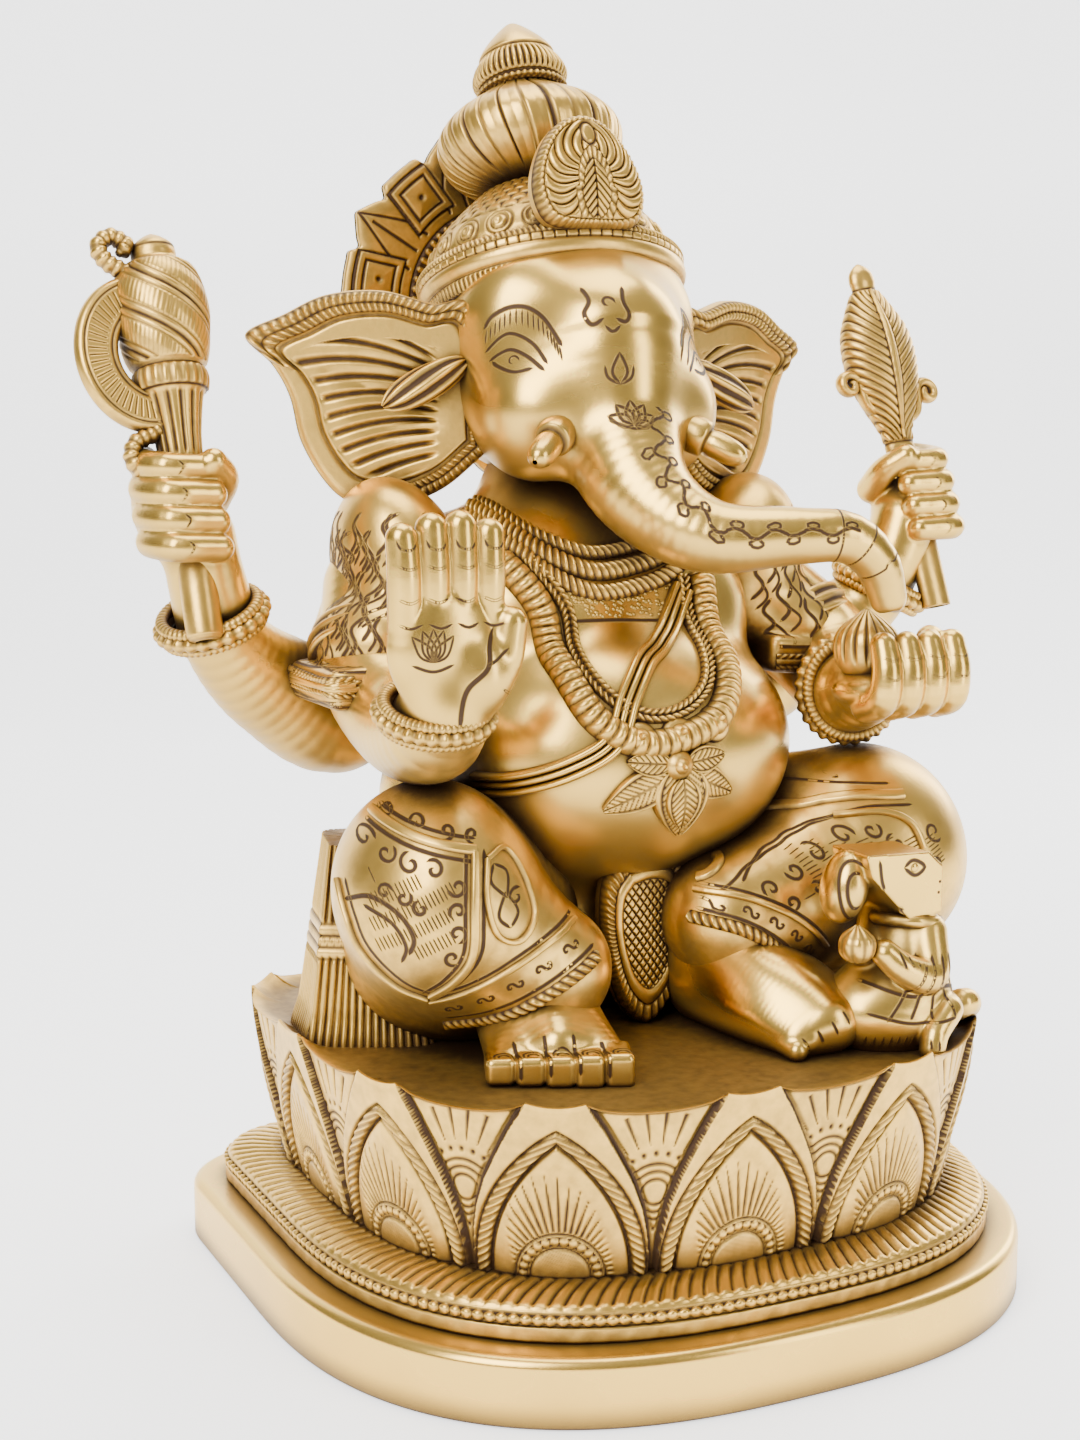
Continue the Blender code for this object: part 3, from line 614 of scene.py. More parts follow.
class Skin:
    """Draws relief strips on a field, seen along one direction.

    A drawing's (a, b) are millimetres to the viewer's right and up, from centre.
    """

    def __init__(self, body, field, centre, towards, back=60.0):
        self.body, self.field = body, field
        self.towards = unit(np.array(towards, float))
        self.right = unit(np.cross(self.towards, (0, 0, 1)))
        self.up = np.cross(self.right, self.towards)
        self.centre = np.array(centre, float) - self.towards * back

    def on(self, ab):
        ab = np.atleast_2d(ab)
        start = self.centre + self.right * ab[:, :1] + self.up * ab[:, 1:2]
        return shoot(self.field, start, self.towards)

    def draw(self, points, half, profile, count=None, limit=6.0, **how):
        path = curve(points, count or max(6, int(length(np.array(points, float)) / 0.7)))
        p, n, hit = self.on(path)
        keep = hit & (np.abs((n * self.towards).sum(1)) > 0.03)
        jump = np.linalg.norm(np.diff(p, axis=0), axis=1) > limit
        if keep.all() and not jump.any():
            strip(self.body, p, n, half, profile, **how)
            return
        start = 0
        for i in range(1, len(p) + 1):
            if i == len(p) or not keep[i] or not keep[i - 1] or jump[i - 1]:
                if i - start >= 3 and keep[start:i].all():
                    strip(self.body, p[start:i], n[start:i], half, profile, **how)
                start = i

    def line(self, points, half=0.42, **how):
        how.setdefault("taper", 1.2)
        self.draw(points, LINE_GAIN * half, engraved(), step=0.45, across=7, **how)

    def bump(self, a, b, radius, high, groove=0.0, sides=14, rings=5):
        """A round boss."""
        (p,), (n,), hit = self.on([(a, b)])
        if not hit[0]:
            return
        x = unit(np.cross(n, self.up + 0.01))
        y = np.cross(n, x)
        t = np.linspace(0, 0.5 * math.pi, rings)[:, None]
        w = np.linspace(0, TAU, sides, endpoint=False)[None, :]
        r, h = radius * np.sin(t) + 0 * w, high * np.cos(t) + 0 * w
        where = p + x * (r * np.cos(w))[..., None] + y * (r * np.sin(w))[..., None] + n * (h - 0.1)[..., None]
        self.body.grid(where, np.clip(groove + smoothstep(r / radius, 0.8, 1.0), 0, 1), wrap_v=True)


def spiral(a, b, radius, turns=1.4, start=0.0, hand=1.0, count=26):
    """A scroll's points, from its outside in."""
    t = np.linspace(0, 1, count)
    w = start + hand * TAU * turns * t
    r = radius * (1 - 0.82 * t)
    return np.stack([a + r * np.cos(w), b + r * np.sin(w)], 1)


def ess(a, b, size, angle=0.0, hand=1.0):
    """An S-shaped scroll."""
    one = spiral(-0.5 * size, 0.0, 0.5 * size, 1.1, 0.0, hand)[::-1]
    two = spiral(0.5 * size, 0.0, 0.5 * size, 1.1, math.pi, hand)
    path = np.vstack([one, two])
    c, s = math.cos(angle), math.sin(angle)
    return path @ np.array([[c, s], [-s, c]]) + (a, b)


# ------------------------------------------------------------------ lathe work, plates and hoops


def axes_from(axis, hint=(1, 0, 0)):
    axis = unit(np.array(axis, float))
    side = unit(np.array(hint, float) - axis * float(np.dot(axis, hint)))
    return axis, side, np.cross(axis, side)


def plain(u, s):
    return 0.0 * u * s, 0.0 * u * s


def lathe(
    body, foot, head, profile, relief=plain, squash=1.0, across=180, along=90, hint=(1, 0, 0),
    turn=(0, TAU)
):
    """Turns a profile of (distance, radius) round an axis.

    relief(angle, distance, radius) gives height and groove.
    """
    axis, side, other = axes_from(np.subtract(head, foot), hint)
    across, along = max(12, int(across / GRAIN)), max(8, int(along / GRAIN))
    fine = curve([(d, r) for d, r in profile], along)
    whole = abs(turn[1] - turn[0]) > TAU - 1e-6
    w = np.linspace(turn[0], turn[1], across, endpoint=not whole)[:, None]
    d, r = fine[None, :, 0], np.maximum(fine[None, :, 1], 0.02)
    base = lambda dd, rr: (
        np.array(foot, float) + axis * dd[..., None] + side * (rr * np.cos(w))[..., None]
        + other * (squash * rr * np.sin(w))[..., None]
    )
    dd, rr = np.broadcast_arrays(d + 0 * w, r + 0 * w)
    p = base(dd, rr)
    n = grid_normals(p, wrap_u=whole)
    centre = np.array(foot, float) + axis * dd[..., None]
    sign = np.sign(((p - centre) * n).sum(-1).mean() or 1.0)
    n = n * sign
    h, g = relief(w + 0 * dd, dd, rr)
    body.grid(p + n * h[..., None], np.broadcast_to(g, dd.shape), wrap_u=whole, flip=sign < 0)


def plate(
    body, outline, frame, thick, relief=plain, rings=40, around=200, dome=0.0, centre=None,
    both=True
):
    """A flat piece with a relief front. outline is (a, b) points round a centre that sees them all.

    frame is (origin, a axis, b axis, front axis); relief(a, b, share) gives height and groove.
    """
    origin, ax, bx, nx = [np.array(v, float) for v in frame]
    pts = np.array(outline, float)
    mid = np.array(centre, float) if centre is not None else pts.mean(0)
    around, rings = int(around / GRAIN), max(6, int(rings / GRAIN))
    closed = spaced(np.vstack([curve(np.vstack([pts, pts[:1]]), 400)]), around + 1)[:-1]
    share = np.linspace(0, 1, rings) ** 0.8
    ab = mid + (closed - mid)[:, None, :] * share[None, :, None]
    a, b = ab[..., 0], ab[..., 1]
    sh = np.broadcast_to(share[None, :], a.shape)
    h, g = relief(a, b, sh)
    soft = np.sqrt(np.clip(1 - np.clip((sh - 0.9) / 0.1, 0, 1) ** 2, 0, 1))
    front = 0.5 * thick * (0.25 + 0.75 * soft) + (h + dome * (1 - sh**2)) * np.where(sh < 1, 1, 0)
    area = 0.5 * np.sum(
        closed[:, 0] * np.roll(closed[:, 1], -1) - np.roll(closed[:, 0], -1) * closed[:, 1]
    )
    ccw = area > 0
    hand = np.dot(np.cross(ax, bx), nx) > 0
    where = origin + ax * a[..., None] + bx * b[..., None] + nx * front[..., None]
    body.grid(where, g, wrap_u=True, flip=ccw == hand)
    if both:
        few = np.linspace(0, 1, 8)
        ab = mid + (closed - mid)[:, None, :] * few[None, :, None]
        back = -0.5 * thick * np.where(few < 0.99, 1.0, 0.25)[None, :] + 0 * ab[..., 0]
        where = origin + ax * ab[..., :1] + bx * ab[..., 1:] + nx * back[..., None]
        body.grid(where, 0.2, wrap_u=True, flip=ccw != hand)
        edge = [0.25, 0.0, -0.25]
        ring = np.stack(
            [origin + ax * closed[:, :1] + bx * closed[:, 1:] + nx * (0.5 * thick * e) for e in edge],
            1
        )
        body.grid(ring, 0.15, wrap_u=True, flip=ccw == hand)


def hoop(
    body, centre, axis, radius, half_width, half_height, relief=plain, around=260, across=36,
    stretch=1.0
):
    """A closed ring; relief(angle round the ring, angle round the section)."""
    axis, side, other = axes_from(axis, (1, 0.01, 0))
    around, across = int(around / GRAIN), int(across / GRAIN)
    w = np.linspace(0, TAU, around, endpoint=False)[:, None]
    t = np.linspace(0, TAU, across, endpoint=False)[None, :]
    out = side * np.cos(w)[..., None] + other * (stretch * np.sin(w))[..., None]
    h, g = relief(w + 0 * t, t + 0 * w)
    wide = (half_width + h) * np.cos(t)
    tall = (half_height + h) * np.sin(t)
    p = np.array(centre, float) + out * (radius + wide)[..., None] + axis * tall[..., None]
    body.grid(p, g, wrap_u=True, wrap_v=True, flip=True)


def tube(body, path, wide, high, up, relief=plain, step=0.3, sides=20):
    """A closed tube with an elliptical section; relief(angle, distance)."""
    total = length(path)
    count = max(6, int(total / (step * GRAIN)))
    p = spaced(np.array(path, float), count)
    tangent = unit(np.gradient(p, axis=0))
    n = unit(up - tangent * (tangent * up).sum(-1, keepdims=True))
    side = np.cross(tangent, n)
    s = np.linspace(0, total, count)[:, None]
    t = np.linspace(0, TAU, int(sides / GRAIN), endpoint=False)[None, :]
    cap = np.sqrt(np.clip(np.minimum(s, total - s) / wide, 0, 1)) * 0.98 + 0.02
    h, g = relief(t + 0 * s, s + 0 * t)
    where = (
        p[:, None] + side[:, None] * ((wide * cap + h) * np.cos(t))[..., None]
        + n[:, None] * ((high * cap + h) * np.sin(t))[..., None]
    )
    body.grid(where, g, wrap_v=True, flip=False)


def melt(body, field, low, high, step=0.8, groove=0.0):
    points, quads = polygonise(field, low, high, step)
    TREES[field] = BVHTree.FromPolygons(points.tolist(), quads.tolist())
    body.add(points, quads, groove)


# ------------------------------------------------------------------ plinth and pedestal

HALF_WIDTH, HALF_DEPTH, SIDES_END, ROUNDNESS = 92.5, 80.0, 12.0, 2.6
PLATE_CORNER, LOTUS_CORNER = 22.0, 34.0
PLATE_TOP, LOTUS_FOOT, SEAT, RIM = 15.3, 25.2, 62.0, 65.6


def plan(inset, corner):
    """The D-shaped plan at this inset, with as many points at every inset."""
    half, back, front = HALF_WIDTH - inset, HALF_DEPTH - inset, -HALF_DEPTH + inset
    corner = max(corner - 0.4 * inset, 4.0)
    t = np.linspace(0, math.pi, 1500)
    c, s = np.cos(t), np.sin(t)
    arc = np.stack(
        [
            half * np.sign(c) * np.abs(c) ** (2 / ROUNDNESS),
            SIDES_END - (SIDES_END - front) * np.abs(s) ** (2 / ROUNDNESS)
        ],
        1
    )
    q = np.linspace(0, 0.5 * math.pi, 60)
    left = np.stack([-half + corner * (1 - np.cos(q)), back - corner * (1 - np.sin(q))], 1)
    right = np.stack([half - corner * (1 - np.sin(q)), back - corner * (1 - np.cos(q))], 1)
    line = np.linspace(0, 1, 80)[:, None]
    return np.vstack(
        [
            arc, arc[-1] + (left[0] - arc[-1]) * line, left,
            left[-1] + (right[0] - left[-1]) * line, right,
            right[-1] + (arc[0] - right[-1]) * line
        ]
    )


class Plan:
    """Places points by their distance round the plan, measured at one inset."""

    def __init__(self, corner, reference):
        self.corner = corner
        ring = plan(reference, corner)
        self.along = np.concatenate([[0], np.cumsum(np.linalg.norm(np.diff(ring, axis=0), axis=1))])
        self.total = self.along[-1]
        self.index = np.arange(len(ring))

    def at(self, s, inset):
        ring = plan(inset, self.corner)
        i = np.interp(np.mod(s, self.total), self.along, self.index)
        return np.stack([np.interp(i, self.index, ring[:, 0]), np.interp(i, self.index, ring[:, 1])], -1)

    def sheet(self, s, insets, heights):
        """Points (len(s), len(insets), 3)."""
        columns = []
        for inset, z in zip(insets, heights):
            xy = self.at(s, float(inset))
            columns.append(
                np.concatenate([xy, np.broadcast_to(np.asarray(z, float), s.shape)[:, None]], 1)
            )
        return np.stack(columns, 1)


def ring_body(body, spot, profile, count, groove=0.0):
    s = np.linspace(0, spot.total, int(count / GRAIN), endpoint=False)
    sheet = spot.sheet(s, [p[0] for p in profile], [p[1] for p in profile])
    body.grid(sheet, groove, wrap_u=True, flip=True)


def make_plate():
    body = piece("base_plate", "polished_brass")
    spot = Plan(PLATE_CORNER, 0.0)
    top = PLATE_TOP
    rounded = [
        (
            2.4 * (1 - math.sin(t)), top - 2.4 * (1 - math.cos(t))
        ) for t in np.linspace(0.5 * math.pi, 0, 9)
    ]
    profile = [(4.0, 11.3), (4.0, 0.0), (3.0, 0.0), (1.2, 0.0)]
    profile += [(0.9, 0.0), (0.3, 0.3), (0.0, 0.9), (0.0, 6.0)] + rounded + [
        (10.0, top), (30.0, top), (30.0, 11.3), (4.0, 11.3)
    ]
    ring_body(body, spot, profile, 700)
    body.make()


def make_moulding():
    body = piece("moulding_tier")
    spot = Plan(PLATE_CORNER, 10.0)
    s = np.linspace(0, spot.total, int(1500 / GRAIN), endpoint=False)
    outline = [
        (9.0, 15.3), (7.5, 15.4), (7.1, 15.9), (7.1, 18.7), (7.7, 19.0), (7.9, 19.2), (7.2, 19.6),
        (7.0, 21.0), (7.7, 21.5), (7.6, 22.0), (9.0, 23.0), (12.8, 24.2), (17.0, 24.9),
        (19.0, 24.9)
    ]
    count = int(74 / GRAIN)
    fine = spaced(np.array(outline), count)
    sheet = spot.sheet(s, fine[:, 0], fine[:, 1])
    n = -grid_normals(sheet, wrap_u=True)
    inset, z = fine[None, :, 0] + 0 * s[:, None], fine[None, :, 1] + 0 * s[:, None]
    ss = s[:, None] + 0 * inset
    beads_count = round(spot.total / 2.5)
    t = 2 * np.mod(ss / spot.total * beads_count, 1.0) - 1
    row = (z > 19.2) & (z < 21.5)
    v = (z - 20.35) / 1.15
    dot = np.clip(1 - t**2 - np.abs(v) ** 3, 0, 1) ** 0.5
    leaf_count = round(spot.total / 3.3)
    k = np.clip((inset - 8.3) / 8.7, 0, 1)
    lean = 0.55 * k + 0.5 * k * k
    tt = np.mod(ss / spot.total * leaf_count + lean, 1.0)
    cut = np.exp(-(((tt - 0.5) / 0.14) ** 2)) * smoothstep(k, 0.03, 0.12) * (
        1 - 0.5 * smoothstep(k, 0.9, 1.0)
    )
    lobe = np.sqrt(np.clip(1 - (2 * np.mod(tt + 0.5, 1.0) - 1) ** 2, 0, 1))
    band = (inset > 8.2) & (z > 22.3)
    seam = (
        np.exp(-(((z - 21.75) / 0.18) ** 2)) + np.exp(-(((z - 19.05) / 0.16) ** 2))
        + np.exp(-(((z - 15.35) / 0.25) ** 2))
    )
    wobble = 0.06 * np.sin(ss * 0.9) * np.sin(ss * 0.37 + z)
    h = np.where(row, 0.75 * dot - 0.25, 0.0) + np.where(band, 0.42 * lobe - 0.45 * cut, 0.0) + wobble
    g = np.where(
        row, np.clip(1 - 1.6 * dot, 0, 1), 0
    ) + np.where(band, cut, 0) + 0.9 * np.clip(seam, 0, 1) + 0.12 * (z < 19)
    sheet = sheet + n * h[..., None]
    body.grid(sheet, np.clip(g, 0, 1), wrap_u=True, flip=True)
    ring_body(body, spot, [(17.0, 24.9), (30.0, 24.9), (30.0, 15.65), (7.6, 15.65)], 400, 0.6)
    body.make()


PETAL_GAP = 41.8
PETAL_FIRST = 180.0  # distance round the plan of one petal's middle
PETAL_HEIGHT = RIM - LOTUS_FOOT


def petal_half_width(v):
    """Half the width of a main petal at this height above its foot."""
    k = v / PETAL_HEIGHT
    return np.interp(
        k, [0, 0.1, 0.25, 0.4, 0.55, 0.7, 0.85, 1.0],
        [0.475, 0.475, 0.46, 0.43, 0.38, 0.31, 0.235, 0.145]
    )


def lotus_relief(s, v, gap):
    """Height and groove of the petals: s round the plan, v up from the foot."""
    x = np.mod(s - PETAL_FIRST + 0.5 * gap, gap) - 0.5 * gap
    edge = petal_half_width(v) * gap
    d = (edge - np.abs(x)) * 0.93
    h, g = np.zeros_like(x), np.zeros_like(x)
    # The main petal: margin, corded border, field.
    tip = 35.0
    inner = 0.5 * gap * 0.99 * np.clip(1 - np.clip(v / tip, 0, 1) ** 2.1, 0, 1) ** 0.8 - np.abs(x)
    slope = 0.75 + 0.25 * np.clip(1 - v / tip, 0, 1)
    e = inner * slope  # distance inside the arch
    main = d > 0
    h = np.where(main, 1.5, h)
    border = main & (e >= 1.2) & (e < 4.6)
    mid = (e - 2.9) / 1.7
    run = v * 1.08 + 0.35 * np.abs(x)
    t = np.mod(run / 2.0 - 0.35 * mid, 1.0)
    seg = 0.5 - 0.5 * np.cos(TAU * t)
    cord = np.sqrt(np.clip(1 - mid**2, 0, 1))
    h = np.where(border, 1.15 + cord * (0.25 + 0.6 * seg), h)
    g = np.where(border, np.clip(0.95 - 1.25 * cord * (0.25 + 0.75 * seg), 0, 1), g)
    for at, wide, deep in ((1.25, 0.3, 0.9), (4.75, 0.42, 1.2)):
        line = np.exp(-(((e - at) / wide) ** 2)) * main
        h = h - deep * line
        g = np.maximum(g, 1.1 * line)
    field = main & (e >= 4.7)
    h = np.where(
        field, 1.0 + 0.5 * smoothstep(e, 4.7, 8.0) - 1.2 * np.exp(-(((e - 4.75) / 0.42) ** 2)), h
    )
    # Half-moon at the foot with a beaded arc, and strokes that fan out above it.
    rx, ry = x / 8.4, v / 8.8
    r = np.hypot(rx, ry) * 8.6
    w = np.arctan2(x, np.maximum(v, 0.01))
    arc = field | (main & (r < 11.0) & (e > 3.0))
    moon = arc & (r < 7.0)
    ringed = arc & (r >= 7.0) & (r < 10.2)
    m = (r - 8.6) / 1.6
    bt = 2 * np.mod(w * 8.6 / 2.0, 1.0) - 1
    pearl = np.sqrt(np.clip(1 - bt**2 - np.clip(m * 1.5, -1, 1) ** 2, 0, 1))
    rails = np.exp(-(((np.abs(m) - 0.85) / 0.14) ** 2))
    h = np.where(ringed, 1.35 + 0.6 * np.maximum(pearl, 0.8 * rails), h)
    g = np.where(ringed, np.clip(1.0 - 1.6 * np.maximum(pearl, rails), 0, 1), g)
    h = np.where(moon, 1.5 + 0.5 * np.sqrt(np.clip(1 - (r / 7.2) ** 2, 0, 1)), h)
    g = np.where(moon, 0.18 + 0.25 * np.sin(x * 5.2 + v * 3.1) ** 8, g)
    for at in (7.0, 10.3):
        line = np.exp(-(((r - at) / 0.3) ** 2)) * arc
        h = h - 0.5 * line
        g = np.maximum(g, line)
    stroke_room = field & (r > 10.8) & (e > 5.6)
    number = w / math.radians(6.4)
    ragged = 1.0 + 0.10 * np.sin(np.round(number) * 12.9)
    reach = (11.5 + 12.5 * np.exp(-((w / 0.75) ** 2))) * ragged
    off = (np.mod(number + 0.5, 1.0) - 0.5) * math.radians(6.4) * r
    thin = 0.30 * np.clip((reach - r) / 7.0, 0.15, 1.0) + 0.05
    stroke = np.exp(-((off / thin) ** 2)) * (r < reach) * stroke_room * smoothstep(reach - r, 0, 1.2)
    h = h - 0.55 * stroke
    g = np.maximum(g, stroke)
    # The petals behind, seen in the notches.
    y = gap * 0.5 - np.abs(x)
    side = np.sign(x)
    back = ~main
    room = -d
    h = np.where(back, 0.55 * smoothstep(room, 0.8, 1.8) - 0.35, h)
    g = np.where(back, 1 - smoothstep(room, 0.5, 1.5), g)
    q = np.hypot(y, v - 19.0)
    a = np.arctan2(y, np.maximum(v - 19.0, 0.01))
    for at in (3.0, 4.8, 6.6):
        line = np.exp(-(((q - at) / 0.34) ** 2)) * back * (room > 0.9)
        h, g = h - 0.35 * line, np.maximum(g, line)
    dots = np.exp(
        -(((np.mod(a / 0.30 + 0.5, 1.0) - 0.5) * 0.30 * q / 0.55) ** 2) - ((q - 9.0) / 0.55) ** 2
    ) * back * (room > 1.3)
    h, g = h - 0.5 * dots, np.maximum(g, np.clip(1.2 * dots, 0, 1))
    wedge_off = (np.mod(a / 0.24, 1.0) - 0.5) * 0.24 * q
    wedge = np.exp(
        -((wedge_off / (0.10 + 0.055 * (q - 10.5).clip(0, 9))) ** 2)
    ) * back * (q > 10.8) * (q < 18.5) * (room > 1.4)
    h, g = h - 0.5 * wedge, np.maximum(g, wedge)
    rim = np.exp(-((d / 0.35) ** 2))
    g = np.maximum(g, 0.9 * rim * (d < 0.2) * (v < 0.97 * PETAL_HEIGHT))
    foot = np.exp(-((v / 0.7) ** 2))
    return h, np.clip(np.maximum(g, foot), 0, 1), side


def rim_height(s, gap):
    """The scalloped rim: petal tops stand up, notches dip almost to the seat."""
    x = np.abs(np.mod(s - PETAL_FIRST + 0.5 * gap, gap) - 0.5 * gap)
    top = petal_half_width(PETAL_HEIGHT) * gap
    inside = RIM - 0.9 * np.clip(1 - (x / top) ** 2, 0, 1)
    k = np.clip((x - top) / (0.5 * gap - top), 0, 1)
    notch = RIM - 2.7 * np.sqrt(np.clip(1 - (1 - k) ** 2, 0, 1))
    return np.where(x < top, inside, notch)


def make_lotus():
    body = piece("lotus_pedestal")
    spot = Plan(LOTUS_CORNER, 13.5)
    gap = spot.total / round(spot.total / PETAL_GAP)
    s = np.linspace(0, spot.total, int(1500 / GRAIN), endpoint=False)
    rows_count = int(118 / GRAIN)
    rim = rim_height(s, gap)
    k = np.linspace(0, 1, rows_count)
    z = LOTUS_FOOT + (rim[:, None] - LOTUS_FOOT) * k[None, :]
    v = z - LOTUS_FOOT
    curl = -1.6 * np.sin(math.pi * np.clip(v / PETAL_HEIGHT, 0, 1))  # bellies out a little
    low, high = spot.at(s, 17.3), spot.at(s, 10.0)
    share = (v / PETAL_HEIGHT)[..., None]
    xy = low[:, None, :] * (1 - share) + high[:, None, :] * share
    sheet = np.concatenate([xy, z[..., None]], -1)
    n = -grid_normals(sheet, wrap_u=True)
    h, g, _ = lotus_relief(s[:, None] + 0 * v, v, gap)
    edge_fade = smoothstep((rim[:, None] - z), 0.0, 0.8)
    h = (h - 1.3) * (0.35 + 0.65 * edge_fade) - curl * 0.4 - 0.4
    sheet = sheet + n * h[..., None]
    body.grid(sheet, g, wrap_u=True, flip=True)
    top = sheet[:, -1]
    centre = arr(0, 10, 0)
    lip = []
    for inward, keep, drop in (
        (0.0, 1.0, 0.0), (0.5, 1.0, -0.15), (1.6, 0.75, 0.0), (3.4, 0.35, 0.0), (5.5, 0.08, 0.0),
        (7.0, 0.0, 0.0)
    ):
        p = top.copy()
        away = unit((centre - p) * arr(1, 1, 0))
        p = p + away * inward
        p[:, 2] = SEAT + (top[:, 2] - SEAT) * keep - drop
        lip.append(p)
    lip = np.stack(lip, 1)
    body.grid(
        lip, np.broadcast_to(np.array([0.1, 0.1, 0.25, 0.5, 0.62, 0.68])[None, :], lip.shape[:2]),
        wrap_u=True, flip=True
    )
    inner = lip[:, -1]
    rings = np.linspace(0, 1, 26)
    seat = inner[:, None, :] + (arr(0, 5, SEAT) - inner)[:, None, :] * rings[None, :, None]
    seat[..., 2] = SEAT
    body.grid(seat, 0.68, wrap_u=True, flip=True)
    ring_body(
        body, spot,
        [(17.6, LOTUS_FOOT), (21.8, LOTUS_FOOT), (17.0, 58.0), (40.0, 58.0), (75.0, 58.0)], 300,
        0.7
    )
    body.make()


# ------------------------------------------------------------------ the figure's castings as fields

TORSO = union(
    (ball((0, 12, 127), (45, 37, 33)), 0),
    (ball((0, 32, 160), (44, 28, 30)), 14),
    (ball((0, 36, 110), (50, 30, 42)), 12),
    (ball((0, 32, 78), (56, 30, 24)), 12),
    (limb([(-44, 42, 164), (44, 42, 164)], [16, 16]), 10),
    (limb([(0, 40, 168), (0, 42, 184)], [24, 20]), 8),
    (ball((-19, 13, 160), (15, 9, 12)), 12),
    (ball((19, 13, 160), (15, 9, 12)), 12),
)
TORSO = above(TORSO, 61.5)

TRUNK_PATH = [
    (0, 18, 222), (0, 11, 204), (0, -3, 188), (9, -17, 178.5), (26, -27, 178.5), (38, -30.5, 178),
    (46, -31, 172), (50, -30, 164)
]
TRUNK_RADII = [20, 15.5, 11.5, 8.6, 6.6, 5.9, 5.2, 4.4]
TRUNK = limb(TRUNK_PATH, TRUNK_RADII, 6)
HEAD = union(
    (ball((0, 44, 219), (34.5, 31, 29)), 0),
    (ball((0, 30, 230), (29, 18, 20)), 8),
    (ball((-15, 22, 207), (16, 18, 17)), 8),
    (ball((15, 22, 207), (16, 18, 17)), 8),
    (TRUNK, 7),
)
HEAD = carve(HEAD, (limb([(50.5, -34.5, 158), (49.5, -25.5, 158)], [2.6, 2.6]), 1.0))


def leg_field(side):
    if side < 0:
        field = union(
            (limb([(-28, 28, 90), (-53.5, -2, 101)], [27, 22]), 0),
            (ball((-55.5, -8, 100), (18.5, 22, 23.5)), 8),
            (ball((-42, 10, 80), (27, 25, 20)), 10),
            (limb([(-54, -10, 96), (-32, -17, 82)], [20, 15]), 8),
        )
    else:
        field = union(
            (limb([(28, 28, 90), (60, -2, 99)], [27, 25]), 0),
            (ball((62, -8, 99), (20.5, 22, 23.5)), 8),
            (ball((46, 12, 80), (30, 26, 20)), 10),
            (limb([(60, -10, 96), (18, -13, 88)], [22, 16]), 8),
        )
    return above(field, 61.5)


def foot_frame(side):
    """Heel, toe line and the direction across the foot."""
    if side < 0:
        return arr(-33, -14, 0), arr(-38.4, -40.5, 0), arr(0.93, -0.38, 0)
    return arr(6, -20, 0), arr(24, -46, 0), arr(0.79, 0.61, 0)


TOE_SHARES = (-0.86, -0.45, -0.04, 0.37, 0.80)


def foot_field(side):
    """The right foot stands flat with square toes; the left lies on its side with its toes layered."""
    heel, toes, across = foot_frame(side)
    along = unit(toes - heel)
    up = arr(0, 0, 1)
    if side > 0:
        body = union(
            (limb([(14, -10, 82), (21, -32, 75.5), (25.5, -44, 70.5)], [9, 7, 4.4], 14), 0),
            (limb([(15, -8, 70), (15.5, -28, 69), (18, -43, 65.8)], [9, 7.4, 4.2], 14), 10),
            (limb([(28, -12, 73), (31, -30, 71), (29.5, -43, 67.8)], [9, 7.4, 4.4], 14), 10),
        )
        toe_parts = []
        for k in range(5):
            share = k / 4
            tip = arr(16.4, -46.6, 64.2) * (1 - share) + arr(28.4, -45.6, 71.4) * share
            toe_parts.append((limb([tip + arr(-1.5, 7, 1.5), tip], [2.5, 2.5]), 0.7))
        return above(union((body, 0), *toe_parts), 61.2), body
    body = union(
        (limb([heel + up * 77, heel * 0.3 + toes * 0.7 + up * 69.0], [10.0, 5.6], 12), 0),
        (
            limb(
                [heel + up * 70 - across * 5, toes - along * 7 - across * 11 + up * 65.4],
                [9.0, 4.6], 12
            ),
            7
        ),
        (
            limb(
                [heel + up * 70 + across * 5, toes - along * 7 + across * 11 + up * 65.4],
                [9.0, 4.6], 12
            ),
            7
        ),
    )
    turn = np.stack([across, unit(np.cross(up, across)), up], 1)
    toe_parts = []
    for share in TOE_SHARES:
        middle = toes + across * (15.4 * share) + along * (-3.6 - 1.4 * abs(share - 0.25)) + up * 65.4
        toe_parts.append((brick(middle, (3.25, 5.6, 3.9 - 0.5 * abs(share - 0.8)), turn, 1.5), 0.5))
    return above(union((body, 0), *toe_parts), 61.2), body


def rear_arm_field(side):
    if side < 0:
        points = [
            (-44, 46, 162), (-55, 50, 134), (-73, 47, 141), (-87, 41, 153), (-93, 36, 168),
            (-95, 35, 178)
        ]
    else:
        points = [
            (44, 46, 162), (56, 50, 136), (75, 47, 143), (91, 40, 155), (98, 36, 168),
            (101, 35, 178)
        ]
    foot, head = shaft(side)
    axis = unit(head - foot)
    arm = limb(points, [15, 15, 13, 10, 9, 8.5])
    palm = foot + axis * 32 + arr(side * 2, 5, 0)
    fist = union((arm, 0), (ball(palm, (9.5, 7.5, 12.5)), 5))
    fingers = []
    for k in range(4):
        level = foot + axis * (22.5 + 6.2 * k)
        r = (3.4, 3.5, 3.5, 3.2)[k]
        knuckle = level + arr(side * 8.8, 1.5, 0.6)
        middle = level + arr(side * 5.6, -7.2, 0)
        tip = level + arr(-side * 4.4, -7.0, -0.4)
        fingers.append(
            (
                limb(
                    [level + arr(side * 7, 7, 1), knuckle, middle, tip],
                    [r + 0.3, r + 0.2, r, r - 0.3], 5
                ),
                0.8
            )
        )
    thumb = foot + axis * 38
    fingers.append(
        (
            limb(
                [
                    thumb + arr(-side * 8, 4, -5), thumb + arr(-side * 8.6, -2.5, 0),
                    thumb + arr(-side * 5, -7, 4)
                ],
                [4.0, 3.6, 3.1], 5
            ),
            1.0
        )
    )
    return union((fist, 0), *fingers)


